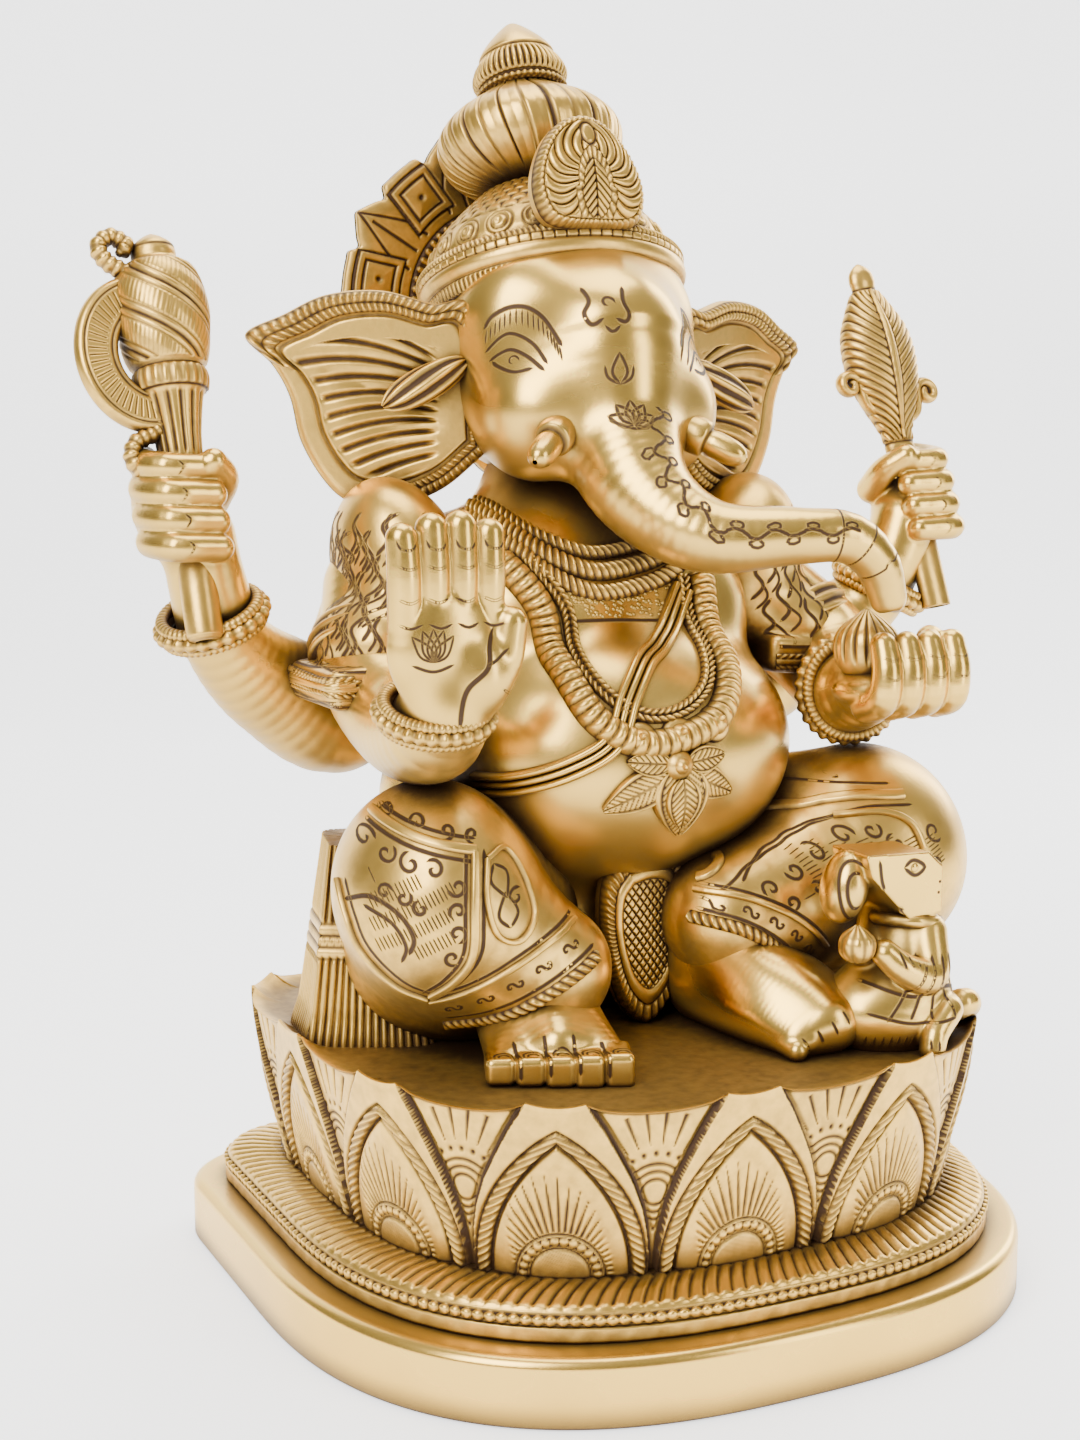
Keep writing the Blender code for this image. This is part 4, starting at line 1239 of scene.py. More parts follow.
PALM_LEAN = (-0.7, -0.3, 0.1, 0.4)


def palm_arm_field():
    arm = limb(
        [(-50, 36, 164), (-57, 23, 147), (-56.5, 6, 137), (-58, -13, 137), (-58.5, -22, 143)],
        [14, 12.8, 12.5, 11.3, 10]
    )
    parts = [
        (arm, 0), (ball((-60, -26, 157), (13.2, 5.6, 14.5)), 5),
        (ball((-52.5, -29.5, 151), (6.0, 4.2, 7.5)), 3)
    ]
    for k in range(4):
        x = -69.3 + 6.25 * k
        top = (183.6, 185.6, 186.0, 184.2)[k]
        lean = PALM_LEAN[k]
        parts.append(
            (
                limb(
                    [(x, -26, 160), (x + 0.5 * lean, -27, 172), (x + lean, -26.6, top - 3.4)],
                    [3.6, 3.6, 3.4], 5
                ),
                0.5
            )
        )
    parts.append(
        (limb([(-52, -26, 147), (-47.5, -28.5, 154), (-46, -29, 162)], [5.2, 4.0, 3.5], 5), 1.6)
    )
    return union(*parts)


def bowl_arm_field():
    arm = limb(
        [(50, 36, 164), (64, 22, 148), (64, 10, 141), (57, -4, 139), (56, -16, 141)],
        [14, 14, 13, 11, 8.5]
    )
    parts = [(arm, 0), (ball((56, -23, 141.5), (14, 12.5, 6.2)), 4)]
    for k in range(4):
        x = 46.8 + 6.5 * k
        parts.append(
            (
                limb(
                    [(x + 1, -26, 138), (x, -33.5, 140.5), (x + 0.2, -34.6, 147), (x + 0.4, -32.6, 153)],
                    [3.9, 3.8, 3.5, 3.1], 5
                ),
                0.8
            )
        )
    parts.append((limb([(67, -20, 142), (68.5, -26, 148), (63, -29, 153.5)], [4.4, 4.0, 3.3], 5), 1.4))
    return union(*parts)


def shaft(side):
    if side < 0:
        return arr(-96.5, 26, 155), arr(-99, 54, 246)
    return arr(106, 26, 155), arr(97.5, 54, 246)


def shawl_field(side):
    turn = rot("y", side * 18)
    return union(
        (ball((side * 46, 33, 168), (15.5, 20, 24), turn), 0),
        (ball((side * 56, 25, 153), (14, 16, 12.5)), 6),
        (brick((side * 58, 22, 145.5), (15.5, 14.5, 4.6), rot("y", side * 6), 2.5), 1.5),
    )


LEGS = {side: leg_field(side) for side in (-1, 1)}
FEET = {side: foot_field(side) for side in (-1, 1)}
REAR_ARMS = {side: rear_arm_field(side) for side in (-1, 1)}
PALM_ARM, BOWL_ARM = palm_arm_field(), bowl_arm_field()
SHAWLS = {side: shawl_field(side) for side in (-1, 1)}
def prism(corners, y_middle, half_thick, round_by):
    """A convex outline in (x, z), listed clockwise, given thickness along y."""
    c = np.array(corners, float)
    step = np.roll(c, -1, 0) - c
    out = unit(np.stack([-step[:, 1], step[:, 0]], 1))

    def field(p):
        flat = p[..., [0, 2]]
        sides = [((flat - a) @ n) for a, n in zip(c, out)]
        d = np.maximum.reduce(sides + [np.abs(p[..., 1] - y_middle) - half_thick]) + round_by
        return d - round_by

    return field


MOUSE_FACE = [(31.5, 108.2), (48.6, 107.6), (52.4, 104.2), (52.4, 93.2), (43.5, 92.4), (33.0, 103.0)]
MOUSE = above(
    union(
        (limb([(48, -43, 90), (47.5, -43, 80), (46.5, -42, 71)], [6.3, 10.0, 13.2]), 0),
        (ball((42, -42, 70), (15.0, 12, 11)), 4),
        (prism(MOUSE_FACE, -43.5, 7.2, 1.2), 1.6),
        (ball((31.0, -42.5, 99.8), (5.2, 6.0, 8.6), rot("y", 12)), 0.8),
        (
            limb([(50, -48, 88), (47.5, -53, 80), (40, -54, 82), (35.5, -52.5, 86)], [5, 4.4, 3.6, 3.2]),
            1.2
        ),
        (limb([(45, -36, 90), (38, -42, 84), (33.5, -46, 86)], [4.5, 3.6, 3.0]), 1.5),
        (
            limb([(54, -47, 66), (53, -53, 71), (47.5, -56, 67), (46, -57, 63.5)], [4.0, 3.6, 3.2, 3.0]),
            1
        ),
        (limb([(58, -42, 66), (63, -46, 69.5), (67, -42, 67), (68, -36, 64)], [4, 3.4, 3.0, 2.4]), 1),
    ),
    61.5,
)


def front(body, field):
    """A skin drawn from the front: a is x and b is z."""
    return Skin(body, field, (0, 0, 0), (0, 1, 0), back=160)


def turned(body, field, degrees, back=170):
    """A skin drawn from a side: degrees from the front towards the idol's left."""
    t = math.radians(degrees)
    return Skin(body, field, (0, 20, 0), (-math.sin(t), math.cos(t), 0), back=back)


# ------------------------------------------------------------------ head, ears and face


def make_head():
    body = piece("head", "polished_brass")
    melt(body, HEAD, (-36, -42, 155), (60, 77, 250), 0.75)
    face = front(body, HEAD)
    right = turned(body, HEAD, -32)
    left = turned(body, HEAD, 32)
    for skin, hand in ((right, 1.0), (left, -1.0)):
        draw_eye(skin, hand)
    draw_mark(face)
    draw_vine(body)
    for d in (0.0, 3.2, 6.0):
        ring_on_trunk(body, 0.80 + 0.02 * d, 0.3)
    return body.make()


FACE_TURN = -7.0  # x of the middle of the brow, the head being turned a little to its right


def draw_eye(skin, hand):
    """Almond eye with lids, brow and lashes; hand is +1 on the idol's right."""

    def at(*points):
        return [(hand * a, b) for a, b in points] if hand > 0 else [
            (-a + 0.75 * FACE_TURN, b) for a, b in points
        ]

    skin.line(at((-24.4, 218), (-21.7, 219.8), (-18.7, 220.7), (-14.7, 219), (-10.5, 215.7)), 0.55)
    skin.line(at((-23.6, 218.1), (-22, 216.9), (-17.8, 215.5), (-13.3, 216.4)), 0.55)
    skin.line(at((-25.5, 220.1), (-21.6, 223.7), (-18.4, 224.4), (-13.6, 222), (-9.9, 217.3)), 0.5)
    skin.line(
        at((-25.9, 225.5), (-24, 228.4), (-19.8, 230.5), (-15.3, 230.4), (-10.9, 227.5), (-6.6, 221.3)),
        0.6
    )
    skin.line(at(*spiral(-18.3, 218.0, 1.6, 0.98, 0.0, 1.0)[:20]), 0.3)
    brow = curve([(-25.2, 225.6), (-19.8, 229.9), (-15.3, 229.8), (-10.9, 226.9), (-7.3, 221.6)], 17)
    for a, b in brow:
        drop = 4.2 - 0.6 * abs(a + 15) / 10
        skin.line(at((a, b), (a + 0.06 * (a + 17) + 0.2, b - drop)), 0.26)


def draw_mark(face):
    """Forehead mark: two horns that curl into a cup with a ring above it, then dots and a lotus."""
    face.line([(-11.3, 234.8), (-10.7, 231.6), (-12.2, 228.6), (-10.9, 226.1), (-8.4, 227.7)], 0.6)
    face.line([(-2.8, 235.1), (-3.6, 231.6), (-2.7, 228.6), (-3.7, 226.8), (-5.9, 227.7)], 0.6)
    face.line([(-8.3, 226.1), (-6.8, 224.5), (-4.8, 226.1)], 0.5)
    face.line(spiral(-7.1, 231.1, 1.7, 0.98, 0.0, 1.0)[:20], 0.45)
    for k in range(5):
        face.bump(-10.5 + 2.0 * k, 222.6 + 0.3 * (k - 2) ** 2, 0.6, 0.05, 0.9, 8, 3)
    leaf(face, -5.6, 212.6, 7.4, 1.7, 0.5 * math.pi, 0.45)
    for hand in (-1, 1):
        face.line([(-5.6, 212.6), (-5.6 + 2.6 * hand, 214.2), (-5.6 + 3.2 * hand, 217.0)], 0.42)
    for turn in (0.35, 0.95, 0.5 * math.pi, math.pi - 0.95, math.pi - 0.35):
        leaf(face, -3.8, 203.6, 5.6, 1.5, turn, 0.45)
    face.line([(-9.0, 204.5), (-3.8, 202.6), (1.6, 204.5)], 0.45)


def trunk_frame(share):
    """Middle, direction, radius at this share of the trunk's length."""
    data = curve([(*p, r) for p, r in zip(TRUNK_PATH, TRUNK_RADII)], 201)
    i = min(199, max(0, int(share * 200)))
    return data[i, :3], unit(data[i + 1, :3] - data[i, :3]), data[i, 3]


def on_trunk(share, angle):
    """A surface point of the trunk; angle 0 is its front, positive to the idol's left."""
    mid, along, _ = trunk_frame(share)
    out = unit(arr(0.25, -1, 0.25) - along * float(arr(0.25, -1, 0.25) @ along))
    side = np.cross(along, out)
    d = unit(out * math.cos(angle) - side * math.sin(angle))
    p, n, _ = shoot(HEAD, mid + d * 34, -d)
    return p[0], n[0]


def trunk_line(body, points, half, profile=None, count=24, **how):
    path = curve(points, count)
    spots = [on_trunk(s, a) for s, a in path]
    how.setdefault("taper", 1.0)
    strip(
        body, np.array([p for p, _ in spots]), np.array([n for _, n in spots]), LINE_GAIN * half,
        profile or engraved(), step=0.45, across=7, **how
    )


def ring_on_trunk(body, share, half):
    trunk_line(body, [(share, -1.9), (share, 0.0), (share, 1.9)], half, count=30)


def draw_vine(body):
    """A wavy stem with a loop in every bend, down the front of the trunk."""
    steps = 17
    wave = []
    for k in range(steps * 4 + 1):
        t = k / (steps * 4)
        wave.append((0.235 + 0.60 * t, -0.1 + 0.16 * math.sin(TAU * t * steps / 2) * (1 - 0.2 * t)))
    trunk_line(body, wave, 0.5, count=190)
    for k in range(steps):
        t = (k + 0.5) / steps
        hand = 1 if k % 2 == 0 else -1
        s = 0.235 + 0.60 * t
        reach = 0.27 - 0.02 * hand
        loop = [(0.0, 0.08), (-0.012, reach), (0.002, reach + 0.13), (0.012, reach), (0.003, 0.13)]
        trunk_line(body, [(s + da, -0.1 + w * hand) for da, w in loop], 0.4, count=16)


EAR_ROOT, EAR_SWEEP, EAR_THICK = (30.0, 33.0), math.radians(25.0), 6.0
EAR_OUTLINE = [
    (-6, 197), (-4, 230), (7, 232), (19, 235), (32, 234), (42, 229.5), (51.4, 224.6), (45, 217.5),
    (41, 210), (38.5, 199.5), (33, 190), (27, 185), (18, 183.5), (5, 188)
]


def ear_frame(side):
    c, s = math.cos(EAR_SWEEP), math.sin(EAR_SWEEP)
    out = arr(side * c, s, 0)
    normal = arr(s * side, -c, 0)
    return arr(side * EAR_ROOT[0], EAR_ROOT[1], 0), out, arr(0, 0, 1), normal


def ear_relief(a, b, share):
    """Long ribs that fan out of the ear's root, inside a double corded border."""
    border = share > 0.80
    x, z = a - 2.0, b - 213.0 + 0.010 * (a - 22.0) ** 2
    w = np.arctan2(z, np.maximum(x, 0.1) + 24.0)
    rib = np.mod(w / 0.084, 1.0)
    cut = np.exp(-(((rib - 0.5) / 0.17) ** 2)) * smoothstep(a, 5.0, 9.0) * (
        1 - smoothstep(share, 0.66, 0.74)
    )
    cut = cut * (z < 11.0)
    h = 0.7 - 0.95 * cut
    g = cut * 1.0
    around = np.arctan2(b - 209, a - 20) * 30
    t = np.mod(around / 2.0, 1.0)
    for low, high, slant in ((0.80, 0.885, 0.8), (0.885, 0.985, -0.8)):
        m = 2 * (share - low) / (high - low) - 1
        inside = (m > -1) & (m < 1)
        seg = 0.5 - 0.5 * np.cos(TAU * np.mod(t + 0.25 * slant * m, 1.0))
        dome = np.sqrt(np.clip(1 - m**2, 0, 1))
        h = np.where(inside, 0.7 + dome * (0.45 + 0.75 * seg), h)
        g = np.where(inside, np.clip(1.05 - 1.2 * dome * (0.3 + 0.7 * seg), 0, 1), g)
    lean = np.arctan2(b - 209.0, a - 14.0)
    bare = (lean > -1.15) & (lean < 0.28) & border  # the outer edge is a plain band
    h, g = np.where(bare, 1.0, h), np.where(bare, 0.05 + 0.8 * smoothstep(share, 0.965, 1.0), g)
    valley = np.exp(-(((share - 0.775) / 0.018) ** 2))
    return h - 0.6 * valley - 1.6 * (1 - smoothstep(share, 0.0, 0.6)), np.clip(
        np.maximum(g, 0.8 * valley), 0, 1
    )


def make_ear(side):
    name = "right_ear" if side < 0 else "left_ear"
    body = piece(name)
    plate(
        body, EAR_OUTLINE, ear_frame(side), EAR_THICK - 1.6, ear_relief, rings=150, around=620,
        centre=(14, 209)
    )
    body.make()


def make_ear_leaf(side):
    body = piece("right_ear_leaf" if side < 0 else "left_ear_leaf")
    spot = arr(side * 40.5, 30.5, 213)
    long = unit(arr(side * 0.86, 0.12, -0.46) * 1.0)
    profile = [(-11.5, 0.4), (-10, 2.0), (-6, 3.4), (0, 4.0), (6, 3.5), (9.5, 2.2), (11.5, 0.4)]

    def relief(w, d, r):
        rib = np.cos(w * 7 + 0.22 * d)
        return 0.35 * rib, np.clip(0.5 - 0.9 * rib, 0, 1)

    lathe(body, spot, spot + long, profile, relief, squash=0.9, across=120, along=60, hint=(0, 0.3, 1))
    body.make()


def make_tusk(side):
    body = piece("right_tusk" if side < 0 else "left_tusk", "polished_brass")
    foot, tip = arr(side * 14, 9, 204), arr(side * 28, -3, 195)
    profile = [
        (0, 4.1), (4.0, 4.3), (7.0, 4.6), (9.2, 4.3), (9.8, 3.2), (10.2, 3.0), (12.0, 3.3),
        (16.5, 3.1), (19.0, 2.2), (20.2, 0.6)
    ]

    def relief(w, d, r):
        seam = np.exp(-(((d - 9.9) / 0.5) ** 2))
        return 0.0 * w, seam * 0.9

    lathe(body, foot, tip, profile, relief, across=90, along=70, hint=(0, 0, 1))
    body.make()


# ------------------------------------------------------------------ crown

CROWN_DEPTH = 0.88
CROWN_LEAN = math.radians(20.0)
BRIM_TILT = math.radians(20.0)
BRIM_MIDDLE = 236.4  # height of the brim's centre


def brim(z):
    """A point on the brim's axis, which leans back a little."""
    return arr(0, 44.5 + math.sin(BRIM_TILT) * (z - 243), BRIM_MIDDLE + math.cos(BRIM_TILT) * (z - 243))


def crown_axis(distance):
    return arr(0, 57 + math.sin(CROWN_LEAN) * distance, 272 + math.cos(CROWN_LEAN) * distance)


def make_band():
    body = piece("crown_band")
    profile = [
        (-9.8, 30.0), (-9.2, 31.6), (-7.4, 31.6), (-6.0, 31.9), (-4.6, 32.4), (-2.8, 32.8),
        (0.4, 33.8), (3.2, 34.1), (4.4, 33.6), (5.0, 32.4), (5.6, 30.0)
    ]

    def relief(w, d, r):
        s = w * 36.0
        smooth_low = d < -6.0
        teeth = (d >= -6.0) & (d < -2.6)
        t = np.mod(s / 1.7, 1.0)
        tooth = np.exp(-(((t - 0.5) / 0.2) ** 2))
        m = (d + 4.3) / 1.7
        h = np.where(teeth, 0.5 - 0.6 * tooth * (np.abs(m) < 0.85), 0.0)
        g = np.where(teeth, tooth * (1 - smoothstep(np.abs(m), 0.75, 0.95)), 0.0)
        roll = (d >= -2.6) & (d < 1.2)
        h = np.where(roll, 1.1 * np.sqrt(np.clip(1 - ((d + 0.7) / 1.9) ** 2, 0, 1)), h)
        brick = (d >= 1.2) & (d < 3.0)
        bt = np.mod(s / 3.1, 1.0)
        gap = np.exp(-(((bt - 0.5) / 0.07) ** 2))
        h = np.where(brick, 0.55 - 0.6 * gap, h)
        g = np.where(brick, gap, g)
        cords = d >= 3.0
        ct = np.mod(s / 1.5 + 0.3 * (d - 4), 1.0)
        seg = 0.5 - 0.5 * np.cos(TAU * ct)
        h = np.where(cords, 0.3 + 0.45 * seg, h)
        g = np.where(cords, np.clip(0.9 - 1.2 * seg, 0, 1), g)
        for at, wide in ((-6.0, 0.25), (-2.6, 0.25), (1.2, 0.2), (3.0, 0.2)):
            line = np.exp(-(((d - at) / wide) ** 2))
            h, g = h - 0.35 * line, np.maximum(g, line)
        return h - 0.35, np.where(smooth_low, np.minimum(g, 0.8), g)

    lathe(body, brim(243), brim(244), profile, relief, squash=CROWN_DEPTH, across=1300, along=84)
    body.make()


def make_dome():
    body = piece("crown_dome")
    profile = [
        (5.2, 31.0), (7.5, 31.2), (11, 29.8), (15, 26.6), (19, 22.4), (22.5, 18.2), (25.0, 14.5),
        (26.0, 6.0), (26.1, 0.3)
    ]

    def relief(w, d, r):
        s = w * 31.0
        k = d - 9.0
        count = 20
        t = (np.mod(w / TAU * count, 1.0) - 0.5) * TAU / count * np.maximum(r, 8)
        ring = np.hypot(t, k * 1.05)
        h = (
            0.25 * np.exp(-(((ring - 3.0) / 0.5) ** 2))
            + 0.6 * np.exp(-(((ring - 1.2) / 1.0) ** 2)) * (ring < 2.4)
        )
        line = np.exp(-(((ring - 3.6) / 0.28) ** 2)) + np.exp(-(((ring - 2.2) / 0.28) ** 2))
        row = (k > -3.9) & (k < 3.9)
        h, g = np.where(row, h - 0.35 * line, 0.0), np.where(row, line, 0.0)
        upper = k >= 3.9
        tuft = np.mod(w / TAU * 40 + 0.5 * np.floor(d / 2.2), 1.0)
        m = np.mod(d / 2.2, 1.0)
        scale = np.sqrt(np.clip(1 - (2 * tuft - 1) ** 2 - (m - 0.2) ** 2, 0, 1))
        h = np.where(upper, 0.4 * scale, h)
        g = np.where(upper, np.clip(0.95 - 1.2 * scale, 0, 1), g)
        cord = np.exp(-(((k + 4.3) / 0.5) ** 2))
        seg = 0.5 - 0.5 * np.cos(TAU * s / 1.6)
        return h + 0.6 * cord * seg - 0.4, np.clip(np.maximum(g, cord * (1 - seg)), 0, 1)

    lathe(body, brim(243), brim(244), profile, relief, squash=CROWN_DEPTH, across=1000, along=90)
    body.make()


def make_bun():
    body = piece("crown_bun")
    profile = [
        (-11.5, 8), (-10.5, 13), (-8, 18.5), (-4.5, 22.3), (0, 23.9), (4, 23.4), (8, 20.2),
        (11.5, 15), (13.5, 11.8), (15.0, 10.5)
    ]

    def relief(w, d, r):
        swirl = w / TAU * 27 + 0.03 * d + 0.3 * np.sin(w * 2 + 0.4)
        t = np.mod(swirl, 1.0)
        sharp = 0.10 + 0.05 * np.sin(np.floor(swirl) * 7.3)
        cut = np.exp(-(((t - 0.5) / sharp) ** 2)) * (0.7 + 0.3 * np.sin(np.floor(swirl) * 3.1))
        fade = smoothstep(d, -11, -8)
        return 0.2 * np.sin(math.pi * t) - 0.95 * cut * fade - 0.3, np.clip(cut * 1.25, 0, 1) * fade

    lathe(body, crown_axis(0), crown_axis(1), profile, relief, squash=0.92, across=900, along=120)
    body.make()


def make_finial():
    body = piece("crown_finial")
    profile = [
        (14.0, 10.5), (14.8, 11.8), (15.8, 11.6), (16.4, 10.6), (17.2, 11.5), (19.0, 12.2),
        (21.5, 11.4), (23.6, 9.9), (24.3, 9.5), (24.8, 9.9), (26.0, 9.4), (28.5, 7.5),
        (31.5, 4.6), (33.6, 2.2), (34.7, 0.4)
    ]

    def relief(w, d, r):
        pleats = (d > 16.6) & (d < 24.1)
        t = np.mod(w / TAU * 46 + 0.02 * d, 1.0)
        cut = np.exp(-(((t - 0.5) / 0.2) ** 2)) * smoothstep(d, 16.6, 17.6) * (1 - smoothstep(d, 23.2, 24.0))
        ring = (d > 14.2) & (d < 16.3)
        bead = 0.5 - 0.5 * np.cos(TAU * w / TAU * 44)
        line = np.exp(-(((d - 24.3) / 0.25) ** 2)) + np.exp(-(((d - 16.4) / 0.3) ** 2))
        h = np.where(pleats, 0.25 - 0.8 * cut, 0) + np.where(ring, 0.35 * bead - 0.2, 0)
        g = np.where(pleats, cut, 0) + np.where(ring, 0.7 * (1 - bead), 0) + line
        return h - 0.25, np.clip(g, 0, 1)

    lathe(body, crown_axis(0), crown_axis(1), profile, relief, across=760, along=110)
    body.make()


def plaque_relief(a, b, share):
    """A peacock feather: corded rim, rows of crescents, a beaded eye and a leaf."""
    x, y = a, b
    around = np.arctan2(x, y + 2.0)
    d = (1 - share) * 14.5
    rim = d < 2.0
    t = np.mod(around * 15 / 1.7, 1.0)
    seg = 0.5 - 0.5 * np.cos(TAU * t)
    dome = np.sqrt(np.clip(1 - ((d - 1.0) / 1.0) ** 2, 0, 1))
    h = np.where(rim, dome * (0.5 + 0.5 * seg), 0.0)
    g = np.where(rim, np.clip(1 - 1.3 * dome * (0.3 + 0.7 * seg), 0, 1), 0.0)
    # The eye of the feather stands on the lower edge.
    ex, ey = x / 4.6, (y + 4.6) / 8.2
    eye = np.hypot(ex, ey) + 0.18 * np.abs(ex) * (ey > 0)
    plume = (~rim) & (eye > 1.28)
    r = np.hypot(x, y + 4.0)
    w = np.abs(np.arctan2(x, y + 4.0))
    m = (r - 8.6) / 4.6
    turns = np.mod(w / 0.26 + 0.85 * m * m, 1.0)
    blade = np.sqrt(np.clip(1 - (2 * turns - 1) ** 2, 0, 1)) ** 0.8
    drop = np.hypot(x / 2.0, (y - 9.0) / 2.9)
    mid = np.exp(-(((drop - 1.0) / 0.2) ** 2)) * 2.0
    h = np.where(plume, -0.2 + 1.5 * np.where(drop < 1.1, 0.9, blade), h)
    g = np.where(plume, np.clip(1.35 - 1.5 * np.where(drop < 1.1, 0.9, blade), 0, 1), g)
    h, g = h - 0.3 * mid * plume, np.maximum(g, 0.5 * mid * plume)
    bead_ring = (~rim) & (eye <= 1.28) & (eye > 0.86)
    bt = np.mod(np.arctan2(ex, ey) * 3.6, 1.0)
    bs = 0.5 - 0.5 * np.cos(TAU * bt)
    bd = np.sqrt(np.clip(1 - ((eye - 1.07) / 0.2) ** 2, 0, 1))
    h = np.where(bead_ring, 0.7 + 0.8 * bd * (0.4 + 0.6 * bs), h)
    g = np.where(bead_ring, np.clip(1.05 - 1.3 * bd * (0.3 + 0.7 * bs), 0, 1), g)
    leaf = (~rim) & (eye <= 0.86)
    vein = np.mod((y + 1.1 * np.abs(x)) / 1.9, 1.0)
    cut = np.exp(-(((vein - 0.5) / 0.2) ** 2)) + np.exp(-((x / 0.22) ** 2))
    h = np.where(leaf, 1.3 - 0.5 * cut, h)
    g = np.where(leaf, np.clip(cut, 0, 1), g)
    return h, g


def make_plaque():
    body = piece("crown_plaque")
    lean = math.radians(16.0)
    up = arr(0, math.sin(lean), math.cos(lean))
    out = arr(0, -math.cos(lean), math.sin(lean))
    outline = [
        (0, 14.6), (4.2, 13.6), (8.4, 10.6), (12, 6), (14.6, 0.0), (15.2, -5.5), (13.5, -10.6),
        (9.5, -12.8), (0, -13.2)
    ]
    outline += [(-a, b) for a, b in reversed(outline[1:-1])]
    plate(
        body, outline, (arr(-3, 22.6, 261.2), arr(0.94, 0, 0), up, out), 7.0, plaque_relief,
        rings=130, around=420, dome=2.2, centre=(0, -1)
    )
    body.make()


def halo_radius(turn):
    """Blunt jewels and pointed petals by turns round the rosette."""
    k = np.mod(turn / TAU * 9 + 0.5, 1.0) - 0.5
    jewel = 43.4 if abs(k) < 0.22 else 0.0
    petal = 45.4 - 17.0 * (0.5 - abs(k)) if abs(k) > 0.24 else 0.0
    return max(jewel, petal, 40.6)


def halo_relief(a, b, share):
    """Square jewels and pointed petals by turns round the rosette."""
    w = np.arctan2(a, b)
    r = np.hypot(a, b)
    n = 9
    k = np.mod(w / TAU * n + 0.5, 1.0) - 0.5
    x = k * TAU / n * r
    z = r - 33.0
    box = np.maximum(np.abs(x) / 6.2, np.abs(z - 2.0) / 6.2)
    h = np.where(box < 1, 0.8, 0.0)
    h = np.where(box < 0.62, 1.4 - 0.8 * box, h)
    line = np.exp(-(((box - 0.66) / 0.06) ** 2)) + np.exp(-(((box - 1.02) / 0.06) ** 2))
    dot = np.exp(-((np.hypot(x, z - 2.0) / 0.75) ** 2))
    arc = np.exp(-(((r - 25.5) / 0.3) ** 2)) + np.exp(-(((r - 22.0) / 0.3) ** 2))
    bt = 0.5 - 0.5 * np.cos(w * 60)
    row = (r > 22.2) & (r < 25.3)
    h = np.where(row, 0.3 + 0.7 * bt, h)
    h = h - 0.5 * line - 0.8 * dot - 0.4 * arc
    g = np.clip(line + dot + arc + row * (0.9 - 1.1 * bt), 0, 1)
    lance = np.abs(np.mod(w / TAU * n, 1.0) - 0.5) * TAU / n * r
    spine = np.exp(-((lance / 0.4) ** 2)) * (r > 27) * (r < 41)
    fringe = np.exp(
        -(((lance - 5.2 * np.clip((45 - r) / 12, 0, 1)) / 0.4) ** 2)
    ) * (r > 27) * (box > 1.05)
    h = h - 0.4 * np.maximum(spine, fringe)
    g = np.maximum(g, np.maximum(spine, fringe))
    strokes = np.mod(w / TAU * n * 7, 1.0)
    cut = np.exp(-(((strokes - 0.5) / 0.12) ** 2)) * (r < 21.5) * (r > 8)
    return h - 0.4 * cut, np.clip(g + cut + 0.25, 0, 1)


def make_halo():
    body = piece("halo_rosette")
    outline = []
    for k in range(144):
        t = TAU * k / 144
        radius = halo_radius(t)
        outline.append((radius * math.sin(t), radius * math.cos(t)))
    plate(
        body, outline, (arr(0, 77.3, 234), arr(1, 0, 0), arr(0, 0, 1), arr(0, -1, 0)), 3.4,
        halo_relief, rings=170, around=900, centre=(0, 0)
    )
    plate(
        body, outline, (arr(0, 78.4, 234), arr(-1, 0, 0), arr(0, 0, 1), arr(0, 1, 0)), 2.0,
        lambda a, b, s: halo_relief(a, b, s), rings=90, around=500, centre=(0, 0), both=False
    )
    body.make()


# ------------------------------------------------------------------ body and cloth


def make_torso():
    body = piece("torso", "polished_brass")
    melt(body, TORSO, (-62, -28, 61), (62, 72, 206), 1.0)
    face = front(body, TORSO)
    face.line([(-18, 158.6), (-8, 158.6), (2, 158.2), (10, 158.0)], 0.6)
    grain = np.random.default_rng(5)
    for _ in range(170):
        a, b = grain.uniform(-19, 12), grain.uniform(159.4, 166)
        face.bump(a, b, grain.uniform(0.45, 0.8), 0.4, 0.35, 7, 3)
    return body.make()


def leaf(skin, a, b, long, wide, angle, half=0.4, veins=0):
    c, s = math.cos(angle), math.sin(angle)

    def put(points):
        return [(a + x * c - y * s, b + x * s + y * c) for x, y in points]

    skin.line(put([(0, 0), (0.4 * long, wide), (long, 0)]), half)
    skin.line(put([(0, 0), (0.4 * long, -wide), (long, 0)]), half)
    for k in range(veins):
        t = (k + 1) / (veins + 1)
        reach = wide * math.sin(math.pi * t) * 0.75
        skin.line(put([(t * long, 0), (t * long - 0.3 * reach, reach)]), 0.25)
        skin.line(put([(t * long, 0), (t * long - 0.3 * reach, -reach)]), 0.25)


def hatch(skin, low, high, spacing, angle, reach, keep):
    """Fine parallel strokes over a patch; keep(a, b) says where."""
    c, s = math.cos(angle), math.sin(angle)
    middle = ((low[0] + high[0]) / 2, (low[1] + high[1]) / 2)
    size = max(high[0] - low[0], high[1] - low[1])
    k = -size / 2
    while k < size / 2:
        t = -size / 2
        while t < size / 2:
            a, b = middle[0] + t * c - k * s, middle[1] + t * s + k * c
            if keep(a, b):
                skin.line([(a, b), (a + reach * c, b + reach * s)], 0.16, taper=0.5)
            t += reach * 1.35
        k += spacing


def shifted_line(points, da, db):
    return [(a + da, b + db) for a, b in points]


